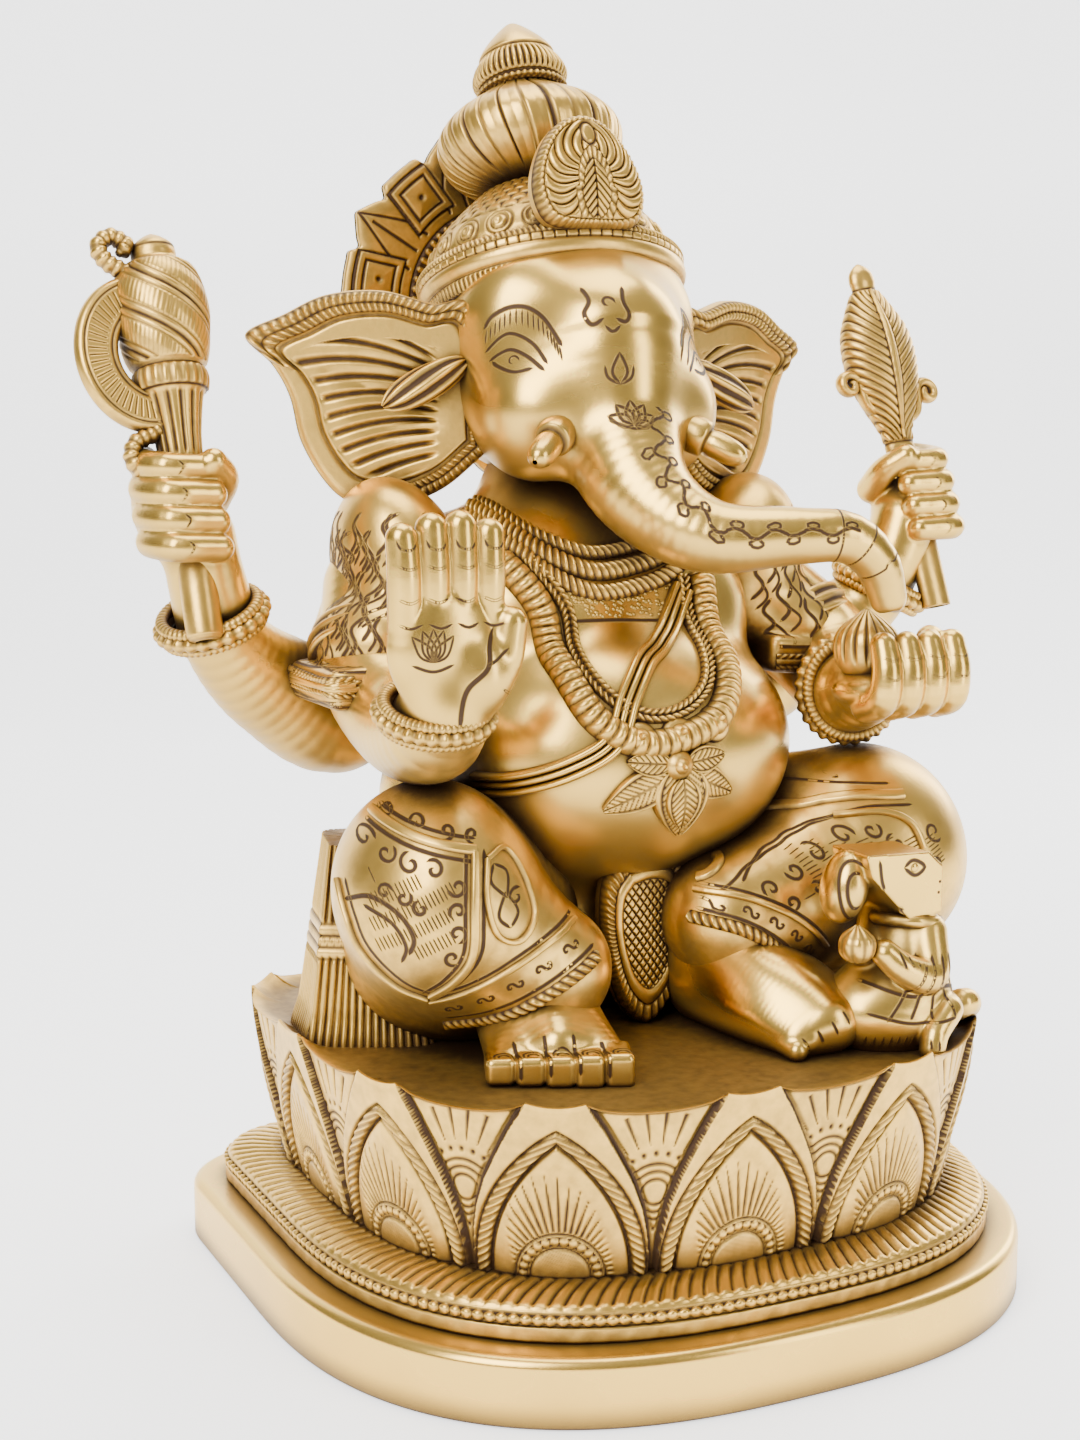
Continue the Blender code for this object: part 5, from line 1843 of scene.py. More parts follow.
def make_leg(side):
    body = piece("right_leg" if side < 0 else "left_leg")
    field = LEGS[side]
    x = (-100, -10) if side < 0 else (-4, 100)
    melt(body, field, (x[0], -42, 61), (x[1], 58, 126), 0.85)
    skin = turned(body, field, -20 if side < 0 else 16)
    wide = ridge(1.1, 0.7)
    if side < 0:
        knee = [(-61, 123.5), (-58, 120.5), (-51, 117.2), (-44, 115), (-34.5, 113)]
        seam = [(-34.5, 112.5), (-35, 101), (-35.4, 91), (-39, 85), (-44, 80.5)]
        contour = [(-64, 104), (-62, 97), (-59, 90), (-52, 83), (-45, 79.5)]
        pocket = [
            (-32, 111), (-28, 112.5), (-24, 107), (-21.5, 98), (-25, 93), (-30, 95), (-32.4, 103),
            (-32, 111)
        ]
        kneecap = [(-62.5, 101), (-57, 103), (-51, 100), (-48, 95), (-49, 91)]
        for path, half in ((knee, 1.3), (seam, 1.1), (contour, 1.0), (pocket, 0.7)):
            skin.draw(path, half, wide)
        for da, db in ((0.3, 2.2), (-0.3, -2.2)):
            skin.line(shifted_line(knee, da, db), 0.55)
        for da in (-2.0, 2.0):
            skin.line(shifted_line(seam, da, 0.6), 0.5)
        skin.line(shifted_line(contour, 1.6, 1.4), 0.5)
        skin.line(pocket, 0.45)
        skin.line(kneecap, 0.6)
        skin.line(shifted_line(kneecap[1:], -1.6, -2.0), 0.5)
        leaf(skin, -30.5, 110, 8, 2.0, -1.2, 0.45)
        leaf(skin, -27, 96, 8, 2.2, 1.7, 0.45)
        skin.line(spiral(-25.6, 102.5, 2.0, 1.1, 1.0, 1.0), 0.45)
        curls = [
            (-58, 114.5, 2.4, 1), (-53.5, 112.2, 2.2, -1), (-48.5, 110.6, 2.4, 1),
            (-43.5, 109.6, 2.2, -1)
        ]
        curls += [
            (-38.6, 106, 2.2, 1), (-38.6, 101, 2.0, -1), (-38.8, 96, 2.2, 1),
            (-39.8, 90.5, 2.0, -1)
        ]
        curls += [(-54, 104.5, 1.8, 1), (-50, 103.5, 1.8, -1), (-46.5, 101.5, 1.8, 1)]
        curls += [
            (-53, 120.5, 1.8, 1), (-46.5, 118.6, 1.8, -1), (-40.5, 117, 1.8, 1),
            (-35, 116, 1.6, -1)
        ]
        hatch(
            skin, (-58, 92), (-40, 112), 0.95, -1.1, 3.4, lambda a,
            b: 93 < b < 109 and -58 < a < -40.5
        )
        lower = [(-40, 70), (-30, 73.5), (-20, 79), (-7, 87)]
        upper = [(-44, 79), (-34, 83), (-23, 89), (-12, 95)]
    else:
        knee = [(-5, 98), (3, 103), (12, 107), (25, 112.3), (34, 115.6), (44, 116)]
        inner = [(2, 98.5), (8, 103), (15, 106.3), (29, 111.5), (37, 112.5), (42, 110), (43.5, 104)]
        skin.draw(knee, 1.5, wide)
        skin.line(shifted_line(knee, -0.8, 2.4), 0.5)
        skin.line(shifted_line(knee, 0.8, -2.2), 0.5)
        skin.draw(inner[3:], 0.9, wide)
        skin.line(inner[:5], 0.5)
        curls = [
            (28, 107.5, 2.3, 1), (33.5, 108.5, 2.0, -1), (37.5, 105.5, 2.2, 1),
            (20.5, 104, 2.3, -1), (14, 100.5, 2.2, 1)
        ]
        curls += [
            (7.5, 97, 2.0, -1), (11.5, 93.5, 1.8, 1), (47.5, 107.5, 2.6, -1), (46, 99.5, 2.4, 1),
            (45, 92.5, 2.0, -1)
        ]
        curls += [(25, 101.5, 1.6, 1), (18, 96.5, 1.6, -1), (32, 102.5, 1.5, 1)]
        curls += [
            (8, 110.5, 1.6, 1), (15, 113.5, 1.6, -1), (22, 116, 1.6, 1), (29, 118.3, 1.6, -1),
            (36, 120, 1.5, 1)
        ]
        hatch(skin, (8, 90), (48, 112), 0.95, 0.4, 3.4, lambda a, b: 94 < b < 106 and 14 < a < 47)
        lower = [(-8, 91), (0, 88), (9, 82.5), (18, 75)]
        upper = [(-8, 97), (1, 95.5), (12, 90), (22, 82)]
    for k, (a, b, r, hand) in enumerate(curls):
        skin.line(spiral(a, b, r, 1.15, 0.8 * k, hand), 0.48)
    skin.draw(lower, 1.6, rope(2.1, 1.5), step=0.25, across=11)
    skin.line(shifted_line(lower, -0.6, 2.6), 0.5)
    skin.draw(upper, 0.8, wide)
    skin.line(shifted_line(upper, -0.4, 1.6), 0.45)
    for k in range(5):
        t = (k + 0.5) / 5
        (a, b), (c, d) = [curve(path, 21)[int(20 * t)] for path in (lower, upper)]
        skin.line(ess(0.4 * a + 0.6 * c, 0.4 * b + 0.6 * d, 2.2, 0.5 if side < 0 else -0.5, 1), 0.4)
    return body.make()


def make_foot(side):
    body = piece("right_foot" if side < 0 else "left_foot", "polished_brass")
    field, _ = FEET[side]
    heel, toes, across = foot_frame(side)
    low = np.minimum(heel, toes) - 20
    high = np.maximum(heel, toes) + 20
    melt(body, field, (low[0], low[1], 61), (high[0], high[1], 94), 0.5)
    if side > 0:
        skin = front(body, field)
        for k in range(4):
            a, b = 17.6 + 3.15 * k, 66.0 + 1.9 * k
            skin.line([(a - 0.6, b + 1.5), (a + 0.4, b - 0.4), (a + 1.2, b - 2.2)], 0.4)
        return body.make()
    along = unit(toes - heel)
    towards = unit(along * -0.55 + arr(0, 0, -0.85))
    skin = Skin(body, field, (0, 0, 0), towards, back=0)
    for share in TOE_SHARES:
        spot = toes + across * (15.4 * share) + along * -1.5 + arr(0, 0, 67)
        skin.centre = spot - towards * 60
        for r in (2.2, 1.3):
            skin.line(
                [(-r, -0.6), (-0.8 * r, 0.8 * r), (0, 1.15 * r), (0.8 * r, 0.8 * r), (r, -0.6)],
                0.3
            )
    for a, b in zip(TOE_SHARES, TOE_SHARES[1:]):
        mid = toes + across * (15.4 * 0.5 * (a + b)) + along * -1.5 + arr(0, 0, 68)
        skin.centre = mid - towards * 60
        skin.draw([(0, -4.5), (0, 0.5), (0, 5.4)], 0.7, engraved(0.05), step=0.4, across=7, taper=1.0)
    return body.make()


def make_drape(side):
    body = piece("right_side_drape" if side < 0 else "left_side_drape")
    low = [(79, 12), (66, 5), (52, 2), (48, 24), (72, 36)]
    high = [(72, 15), (64, 10), (55, 8), (52, 24), (66, 33)]
    count = int(620 / GRAIN)
    rings = []
    for outline in (low, high):
        closed = curve(outline + outline[:1], 300)
        rings.append(spaced(closed, count + 1)[:-1])
    k = np.linspace(0, 1, int(70 / GRAIN))
    s = np.arange(count) / count * 118.0
    flat = rings[0][:, None, :] * (1 - k[None, :, None]) + rings[1][:, None, :] * k[None, :, None]
    z = 61.8 + 46 * k[None, :] + 0 * flat[..., 0]
    p = np.concatenate([flat * arr(side, 1), z[..., None]], -1)
    n = grid_normals(p, wrap_u=True)
    mid = p.mean((0, 1))
    sign = np.sign(((p - mid) * n).sum(-1).mean())
    n = n * sign
    ss = s[:, None] + 0 * z
    pitch = 2.1
    t = np.mod(ss / pitch + 0.25 * np.sin(ss * 0.7) * k[None, :], 1.0)
    rib = np.sqrt(np.clip(1 - (2 * t - 1) ** 2, 0, 1))
    band = (z > 82) & (z < 90)
    h = np.where(band, 0.45, -0.9 + 1.2 * rib)
    g = np.where(band, 0.1, np.clip(1.0 - 1.25 * rib, 0, 1))
    for at in (82, 84.6, 87.2, 90):
        line = np.exp(-(((z - at) / 0.35) ** 2))
        h, g = h - 0.6 * line, np.maximum(g, line)
    chain = (z > 84.6) & (z < 87.2)
    ct = np.mod(ss / 2.2 + 0.5 * (z - 86), 1.0)
    h, g = h - 0.25 * chain * ct, np.maximum(g, 0.5 * chain * (ct > 0.7))
    flare = 1.0 * smoothstep(z, 70, 62)
    p = p + n * (h + flare - 0.4)[..., None]
    body.grid(p, g, wrap_u=True, flip=sign < 0)
    for row, flip in ((p[:, 0], sign > 0), (p[:, -1], sign < 0)):
        ring = np.linspace(0, 1, 6)[None, :, None]
        body.grid(row[:, None] + (row.mean(0) - row)[:, None] * ring, 0.6, wrap_u=True, flip=bool(flip))
    body.make()


def pleat_relief(a, b, share):
    """Corded rim, a smooth ridge and a cross-hatched drop."""
    d = (1 - share) * 11.5
    rim = d < 2.5
    around = np.arctan2(a, b - 84) * 16 + 0.0 * a
    seg = 0.5 - 0.5 * np.cos(TAU * around / 1.7)
    dome = np.sqrt(np.clip(1 - ((d - 1.25) / 1.25) ** 2, 0, 1))
    h = np.where(rim, dome * (0.4 + 0.7 * seg), 0)
    g = np.where(rim, np.clip(1 - 1.3 * dome * (0.3 + 0.7 * seg), 0, 1), 0)
    smooth = (d >= 2.5) & (d < 4.4)
    h = np.where(smooth, 0.9 * np.sqrt(np.clip(1 - ((d - 3.45) / 0.95) ** 2, 0, 1)), h)
    g = np.where(smooth, smoothstep(np.abs(d - 3.45), 0.7, 0.95), g)
    field = d >= 4.4
    u, v = np.mod((a + 0.75 * b) / 2.0, 1.0), np.mod((a - 0.75 * b) / 2.0, 1.0)
    cut = np.maximum(np.exp(-(((u - 0.5) / 0.13) ** 2)), np.exp(-(((v - 0.5) / 0.13) ** 2)))
    h = np.where(field, 0.6 - 0.6 * cut, h)
    g = np.where(field, cut, g)
    return h, g


def make_pleat():
    body = piece("front_pleat")
    outline = [
        (-7, 103), (0, 104.5), (7, 103), (11, 97), (11.5, 86), (9, 74), (5.5, 66), (0, 61.5),
        (-5.5, 66), (-9, 74), (-11.5, 86), (-11, 97)
    ]
    plate(
        body, outline, (arr(0, -3, 0), arr(1, 0, 0), arr(0, 0, 1), arr(0, -1, 0)), 7.4,
        pleat_relief, rings=130, around=520, dome=1.4, centre=(0, 86)
    )
    body.make()


def armlet_ridges(w, t):
    high = np.cos(3.0 * math.pi * np.sin(t))
    return 0.45 * high, np.clip(0.55 - 0.9 * high, 0, 1)


def make_shawl(side):
    body = piece("right_shawl" if side < 0 else "left_shawl")
    field = SHAWLS[side]
    x = (side * 54 - 26, side * 54 + 26)
    melt(body, field, (x[0], 4, 136), (x[1], 60, 196), 0.8)
    upper_arm = (-55.5, 26, 150.5) if side < 0 else (60, 25, 151)
    hoop(body, upper_arm, (side * -0.35, 0.56, 0.75), 13.6, 2.2, 4.6, armlet_ridges, across=40)
    for view_angle in (
        -25 if side < 0 else 25, -80 if side < 0 else 80, 180 + (30 if side < 0 else -30)
    ):
        skin = turned(body, field, view_angle)
        t = math.radians(view_angle)
        centre_a = side * 50 * math.cos(t) + 13 * math.sin(t)
        lean = 0.3 * side * math.cos(t)
        for k in range(9):
            for j in range(3):
                b = 154.5 + 9.5 * j + 4.0 * (k % 2)
                a = centre_a + (k - 4) * 3.8 - lean * (b - 160)
                flame = [(a, b - 4), (a + 2.0, b - 0.5), (a + 0.2, b + 3), (a + 1.6, b + 6)]
                skin.line(flame, 0.55)
                skin.line([(p + 1.3, q - 2.5) for p, q in flame[:3]], 0.4)
        for level, half in ((141.6, 0.5), (149.4, 0.5)):
            skin.line(
                [
                    (centre_a - 22, level), (centre_a - 7, level - 1), (centre_a + 7, level - 1),
                    (centre_a + 22, level)
                ],
                half
            )
        edge = [
            (centre_a - 22, 145.5), (centre_a - 7, 144.6), (centre_a + 7, 144.6),
            (centre_a + 22, 145.5)
        ]
        skin.draw(
            edge, 2.2,
            rows((1, rope(2.0, 0.9)), (1, ridge(0.9, 0.5)), (1, rope(2.0, 0.9, -0.45))),
            step=0.22, across=17
        )
    body.make()


# ------------------------------------------------------------------ arms, hands and what they hold


def make_rear_arm(side):
    body = piece("right_rear_arm" if side < 0 else "left_rear_arm", "polished_brass")
    x = (-115, -28) if side < 0 else (28, 122)
    melt(body, REAR_ARMS[side], (x[0], 14, 116), (x[1], 66, 208), 0.7)
    skin = turned(body, REAR_ARMS[side], -14 if side < 0 else 14)
    foot, head = shaft(side)
    axis = unit(head - foot)
    t = math.radians(-14 if side < 0 else 14)
    for k in range(4):
        level = foot + axis * (22.5 + 6.2 * k)
        a = level[0] * math.cos(t) + (level[1] - 20) * math.sin(t)
        skin.line([(a - 1.5, level[2] + 1.7), (a, level[2] + 0.2), (a - 1.2, level[2] - 1.8)], 0.26)
    return body.make()


def make_palm_arm():
    body = piece("right_front_arm", "polished_brass")
    melt(body, PALM_ARM, (-80, -42, 118), (-34, 54, 190), 0.6)
    face = front(body, PALM_ARM)
    for k in range(4):
        x = -69.3 + 6.25 * k
        lean = PALM_LEAN[k]
        for z, share in ((167.5, 0.4), (174.5, 0.7), (162.2, 0.1)):
            face.line(
                [
                    (x + lean * share - 2.6, z + 0.4), (x + lean * share, z - 0.6),
                    (x + lean * share + 2.6, z + 0.3)
                ],
                0.34
            )
        face.line(
            [
                (x + lean - 2.2, 180.0), (x + lean - 1.4, 178.2), (x + lean + 1.0, 178.0),
                (x + lean + 2.3, 179.6)
            ],
            0.34
        )
    crease = [(-50.5, 161.5), (-52.5, 157.5), (-53.5, 153), (-57.5, 149), (-59, 144.5), (-59.3, 139.5)]
    face.draw(crease, 0.8, engraved(0.1), step=0.4, across=9, taper=3.0)
    face.line([(-48, 157), (-51.5, 154.5), (-54, 153.5)], 0.4)
    face.line([(-50, 148.5), (-47.5, 147.2), (-45.8, 147.6)], 0.34)
    lotus = (-64.8, 157.0)
    for turn in (0.9, 1.25, math.pi / 2, math.pi - 1.25, math.pi - 0.9):
        leaf(face, lotus[0], lotus[1] - 2.5, 7.2, 1.4, turn, 0.28)
    face.line(
        [(lotus[0] - 4.5, lotus[1] - 3.0), (lotus[0], lotus[1] - 4.4), (lotus[0] + 4.5, lotus[1] - 3.0)],
        0.36
    )
    return body.make()


def make_bowl_arm():
    body = piece("left_front_arm", "polished_brass")
    melt(body, BOWL_ARM, (34, -44, 124), (82, 54, 182), 0.6)
    face = front(body, BOWL_ARM)
    for k in range(4):
        x = 46.8 + 6.5 * k
        for z in (150.4, 146.0):
            face.line([(x - 2.4, z + 0.4), (x, z - 0.6), (x + 2.6, z + 0.4)], 0.3)
    return body.make()


def make_mace():
    body = piece("mace")
    foot, head = shaft(-1)
    profile = [
        (0, 2.4), (0.8, 3.8), (4, 4.3), (26, 4.3), (44, 5.2), (50, 5.8), (57, 7.2), (58.6, 8.4),
        (60.8, 8.8), (62.8, 8.4), (63.6, 7.8), (65, 8.9), (70, 10.3), (76, 10.9), (82, 10.6),
        (86, 9.4), (88.4, 7.6), (89.6, 5.4), (91.6, 5.2), (93.4, 4.7), (95.2, 2.6), (96.4, 0.4)
    ]

    def relief(w, d, r):
        spiral_band = (d > 64.6) & (d < 88.2)
        t = np.mod(w / TAU * 4 + d / 10.7, 1.0)
        cut = np.exp(-(((t - 0.5) / 0.06) ** 2)) + 0.7 * np.exp(-(((np.abs(t - 0.5) - 0.2) / 0.03) ** 2))
        hairs = np.mod(w / TAU * 52 - d / 4.0, 1.0)
        hair = np.exp(-(((hairs - 0.5) / 0.18) ** 2)) * (np.abs(t - 0.5) > 0.24)
        h = np.where(spiral_band, 0.55 * np.abs(t - 0.5) - 0.6 * np.clip(cut, 0, 1) - 0.08 * hair, 0.0)
        g = np.where(spiral_band, np.clip(cut + 0.35 * hair, 0, 1), 0.0)
        flute = (d > 42) & (d < 58)
        f = np.mod(w / TAU * 14, 1.0)
        cut = np.exp(-(((f - 0.5) / 0.17) ** 2)) * flute
        cut = cut * smoothstep(d, 42, 44) * (1 - smoothstep(d, 56.5, 57.8))
        ring = (d > 58.4) & (d < 63.2)
        bead = 0.5 - 0.5 * np.cos(w * 24)
        h = h - 0.55 * cut + np.where(ring, 0.3 * bead - 0.1, 0)
        g = np.maximum(g, cut) + np.where(ring, 0.5 * (1 - bead), 0)
        for at in (58.2, 63.5, 88.9, 92.6):
            g = np.maximum(g, np.exp(-(((d - at) / 0.35) ** 2)))
        return h, np.clip(g, 0, 1)

    lathe(body, foot, head, profile, relief, across=260, along=330, hint=(1, 0, 0))
    body.make()


AXE_CURL = {
    1: [(4.5, 17.5), (7.5, 19.5), (11.5, 22.0), (13.0, 25.5), (10.0, 28.0), (6.5, 26.0), (8.8, 23.6)],
    -1: [
        (3.5, -17.0), (6.5, -19.0), (10.5, -21.0), (11.5, -25.0), (8.5, -27.5), (5.5, -25.5),
        (7.5, -23.2)
    ],
}


def make_axe():
    body = piece("axe_crescent")
    foot, head = shaft(-1)
    axis = unit(head - foot)
    out = arr(-1, 0, 0)
    normal = unit(np.cross(out, axis))
    origin = foot + axis * 67 - normal
    if normal[1] > 0:
        normal = -normal
    count, across = int(260 / GRAIN), int(46 / GRAIN)
    turn = np.linspace(math.radians(-98), math.radians(98), count)
    inner_turn = np.linspace(math.radians(-70), math.radians(70), count)
    outer = np.stack([6 + 15.6 * np.cos(turn), 18.5 * np.sin(turn)], 1)
    inner = np.stack([3 + 8.5 * np.cos(inner_turn), 9.5 * np.sin(inner_turn)], 1)
    u = np.linspace(0, 1, across)
    ab = outer[:, None] * u[None, :, None] + inner[:, None] * (1 - u)[None, :, None]
    edge = np.minimum(u, 1 - u) * 2
    thick = (
        2.4 * np.sqrt(np.clip(1 - (1 - np.clip(edge / 0.35, 0, 1)) ** 2, 0, 1))
    )[None, :] + 0 * ab[..., 0]
    line = (
        np.exp(-(((u - 0.18) / 0.035) ** 2)) + np.exp(-(((u - 0.80) / 0.03) ** 2))
    )[None, :] + 0 * ab[..., 0]
    rays = np.mod(turn / 0.12, 1.0)[:, None]
    ray = np.exp(-(((rays - 0.5) / 0.12) ** 2)) * ((u > 0.3) & (u < 0.72))[None, :]
    for hand in (1, -1):
        lift = hand * (thick - 0.35 * np.clip(line + ray, 0, 1))
        p = origin + out * ab[..., :1] + axis * ab[..., 1:] + normal * lift[..., None]
        body.grid(p, np.clip(line + ray, 0, 1), flip=hand > 0)
    for hand in (1, -1):
        path = [origin + out * a + axis * b for a, b in AXE_CURL[hand]]
        tube(
            body, curve(path, 60), 1.9, 2.6, normal, lambda w,
            s: (0.2 * np.cos(s * 3.4), np.clip(-0.8 * np.cos(s * 3.4), 0, 1)), sides=18
        )
    body.make()


def make_leaf_bud():
    body = piece("leaf_bud")
    foot, head = shaft(1)
    axis = unit(head - foot)
    profile = [
        (0, 2.4), (0.8, 3.9), (4, 4.4), (44, 4.5), (50, 5.4), (56, 8.0), (62, 10.1), (70, 11),
        (77, 10), (83, 7.2), (87, 4.9), (89, 3.7), (91, 3.9), (93.4, 3.5), (95.2, 2.0),
        (96.2, 0.4)
    ]

    def relief(w, d, r):
        side = np.cos(w)
        leafy = (d > 46) & (d < 88)
        vein = np.mod((d - 9 * np.abs(side)) / 2.6, 1.0)
        cut = np.exp(-(((vein - 0.5) / 0.16) ** 2)) * (np.abs(side) > 0.10)
        spine = np.exp(-((side / 0.07) ** 2))
        h = np.where(leafy, 0.25 - 0.55 * cut + 0.5 * spine, 0)
        g = np.where(leafy, np.clip(cut, 0, 1), 0)
        ring = np.exp(-(((d - 88.6) / 0.4) ** 2)) + np.exp(-(((d - 45.5) / 0.4) ** 2)) + np.exp(
            -(((np.abs(side) - 0.13) / 0.025) ** 2)
        ) * leafy
        return h - 0.2 * ring, np.clip(g + ring, 0, 1)

    lathe(body, foot, head, profile, relief, squash=0.62, across=420, along=300, hint=(1, 0, 0))
    for offset, along, hand in ((-12.3, 61.5, 1), (12.3, 60.0, -1)):
        spot = foot + axis * along
        path = []
        for a, b in spiral(offset, 0, 3.4, 1.3, 0.5 * math.pi - 0.5 * math.pi * hand, hand, 40):
            path.append(spot + arr(a, -0.5, 0) + axis * b)
        start = [
            spot + arr(offset * 0.2, 0, 0) - axis * 9,
            spot + arr(offset * 0.62, -0.3, 0) - axis * 5.6
        ]
        full = curve(start + [path[0]], 24)
        tube(body, np.vstack([full[:-1], np.array(path)]), 1.35, 2.0, arr(0, -1, 0.2), sides=16)
    body.make()


def ruffle(count, high):
    def relief(w, t):
        wave = 0.5 - 0.5 * np.cos(w * count)
        height = high * wave * (0.5 + 0.5 * np.cos(t)) - 0.1
        return height, np.clip(0.8 - 1.1 * wave, 0, 1) * (0.4 + 0.6 * np.abs(np.sin(t)))

    return relief


def make_bracelets():
    for name, centre, axis, radius, count in (
        ("right_rear_bracelet", (-91.5, 37.5, 159), (-0.35, -0.25, 0.9), 11.6, 26),
        ("left_rear_bracelet", (95, 37.5, 160), (0.4, -0.2, 0.9), 11.4, 26),
        ("right_front_bracelet", (-59.8, -19.5, 142.2), (-0.05, -0.34, 0.94), 11.4, 30),
        ("left_front_bracelet", (57, -5, 139.3), (-0.2, -0.97, 0.05), 11.8, 28),
    ):
        body = piece(name)
        direction = unit(arr(*axis))
        for shift, wide in ((-2.1, 1.5), (0.0, 2.1), (2.1, 1.5)):
            spot = arr(*centre) + direction * shift
            hoop(
                body, spot, axis, radius - 0.4 + 0.35 * (shift == 0), wide,
                1.25 if shift else 1.6,
                ruffle(count if shift == 0 else count * 2, 0.7 if shift == 0 else 0.4), across=22
            )
        body.make()


# ------------------------------------------------------------------ ornaments on the body


def draped(points, count=400):
    """Surface points and normals of the torso along a path of (x, z)."""
    path = curve(points, count)
    start = np.stack([path[:, 0], np.full(len(path), -90.0), path[:, 1]], 1)
    p, n, hit = shoot(TORSO, start, (0, 1, 0))
    p, n = p[hit], n[hit]
    weight = np.ones(9) / 9
    n = unit(
        np.stack([np.convolve(np.pad(n[:, k], 4, mode="edge"), weight, "valid") for k in range(3)], 1)
    )
    p = np.stack([np.convolve(np.pad(p[:, k], 4, mode="edge"), weight, "valid") for k in range(3)], 1)
    return p, n


OUTER_CHAIN = [
    (-30, 172), (-24, 161), (-23.6, 149), (-20.5, 138.6), (-11.8, 132.8), (-1, 133.6),
    (9.5, 138.0), (16, 147), (17.5, 157), (19, 168)
]
INNER_CHAIN = [
    (-24.6, 172.4), (-18.3, 161), (-19.2, 149), (-15.0, 141.6), (-8.0, 138.6), (0.5, 139.8),
    (8.0, 144.6), (12.0, 152), (12.6, 160), (13.6, 168)
]


def make_necklace():
    body = piece("necklace")
    p, n = draped(OUTER_CHAIN)

    def scales(u, s):
        t = np.mod(s / 2.5 + 0.25 * u * u, 1.0)
        dome = np.sqrt(np.clip(1 - u * u, 0, 1))
        roll = np.sqrt(np.clip(1 - (2 * t - 1) ** 2, 0, 1))
        return dome * (2.1 + 1.5 * roll), np.clip(1.15 - 1.3 * roll * np.sqrt(dome), 0, 1)

    strip(body, p, n, 3.5, scales, step=0.2, across=19)
    p, n = draped(INNER_CHAIN)
    strip(body, p, n, 1.8, rows((1, rope(1.7, 1.9)), (1, rope(1.7, 1.9, -0.45))), step=0.2, across=15)
    face = front(body, TORSO)
    for a, b in ((-11.6, 133.4), (-2.2, 134.0), (7.6, 136.0)):
        for r, high in ((4.4, 1.9), (3.0, 3.6)):
            face.bump(a, b, r, high, 0.0, 26, 8)
        face.bump(a, b + 0.6, 1.3, 4.6, 0.0, 14, 6)
    return body.make()


def make_choker():
    """Three corded rows under the chin."""
    body = piece("choker")
    for drop, half, high in ((0.0, 2.4, 2.8), (4.6, 2.2, 2.2), (-4.2, 1.8, 2.6)):
        path = [
            (-30, 187 - drop), (-26, 180 - drop), (-21, 174 - drop), (-10.4, 169.5 - drop),
            (2, 170.5 - drop), (12, 174 - drop), (20, 181 - drop), (24, 187 - drop)
        ]
        p, n = draped(path)
        strip(body, p, n, half, rope(1.9, high, 0.6), step=0.22, across=13)
    return body.make()


def make_thread():
    body = piece("sacred_thread", "polished_brass")
    path = [
        (13, 165), (7.1, 157.6), (0, 153), (-6, 149.5), (-12.5, 142), (-17.5, 133), (-26, 127.5),
        (-36, 123.5), (-42, 122.5)
    ]
    p, n = draped(path)
    side = unit(np.cross(n, np.gradient(p, axis=0)))
    for shift in (-1.9, 0.0, 1.9):
        strip(body, p + side * shift, n, 1.0, ridge(2.0 if shift else 1.5, 0.1), step=0.4, across=13)
    return body.make()


def petal_plate(body, skin, a, b, long, wide, angle, high):
    """A raised leaf: a raised rim set off by a cut line, a middle line and slanting veins, laid on the skin.
    """
    c, s = math.cos(angle), math.sin(angle)
    count, across = int(46 / GRAIN), int(30 / GRAIN)
    t = np.linspace(0.02, 0.98, count)
    width = wide * np.sin(math.pi * t**0.8) ** 0.75
    u = np.linspace(-1, 1, across)
    x = (long * t)[:, None] + 0 * u[None, :]
    y = width[:, None] * u[None, :]
    spots = np.stack([a + x * c - y * s, b + x * s + y * c], -1).reshape(-1, 2)
    p, n, hit = skin.on(spots)
    if not hit.all():
        return
    edge = 1 - np.abs(u)[None, :] + 0 * x
    vein = np.mod((x - 0.9 * np.abs(y)) / 1.35, 1.0)
    cut = np.exp(-(((vein - 0.5) / 0.18) ** 2)) * (edge > 0.3) * (np.abs(y) > 0.3)
    line = np.exp(-(((edge - 0.27) / 0.06) ** 2)) + np.exp(-((y / 0.22) ** 2))
    h = high * np.clip(edge / 0.12, 0, 1) ** 0.5 * (
        0.8 + 0.2 * np.sin(math.pi * t)
    )[:, None] - 0.35 * np.clip(cut + line, 0, 1)
    h = np.where(edge < 0.001, -0.2, h)
    g = np.clip(cut + line + (edge < 0.05), 0, 1)
    where = p + n * h.reshape(-1, 1)
    body.grid(where.reshape(count, across, 3), g, flip=True)


def make_pendant():
    body = piece("pendant")
    face = front(body, TORSO)
    x, z = -3.0, 127.0
    petal_plate(body, face, x - 1.0, z - 1, 17.5, 4.6, math.radians(208), 1.9)
    petal_plate(body, face, x + 1.0, z - 1, 15.0, 4.2, math.radians(-22), 1.9)
    petal_plate(body, face, x - 2.0, z + 1, 10, 3.2, math.radians(175), 2.4)
    petal_plate(body, face, x + 2.0, z + 1, 10, 3.2, math.radians(8), 2.4)
    petal_plate(body, face, x + 0.6, z + 1, 17.0, 7.2, math.radians(-84), 2.2)
    petal_plate(body, face, x + 0.6, z - 2, 11.5, 4.4, math.radians(-84), 3.5)
    for r, high in ((3.8, 3.8), (2.6, 4.8), (1.2, 5.8)):
        face.bump(x, z + 0.6, r, high, 0.0, 30, 9)
    return body.make()


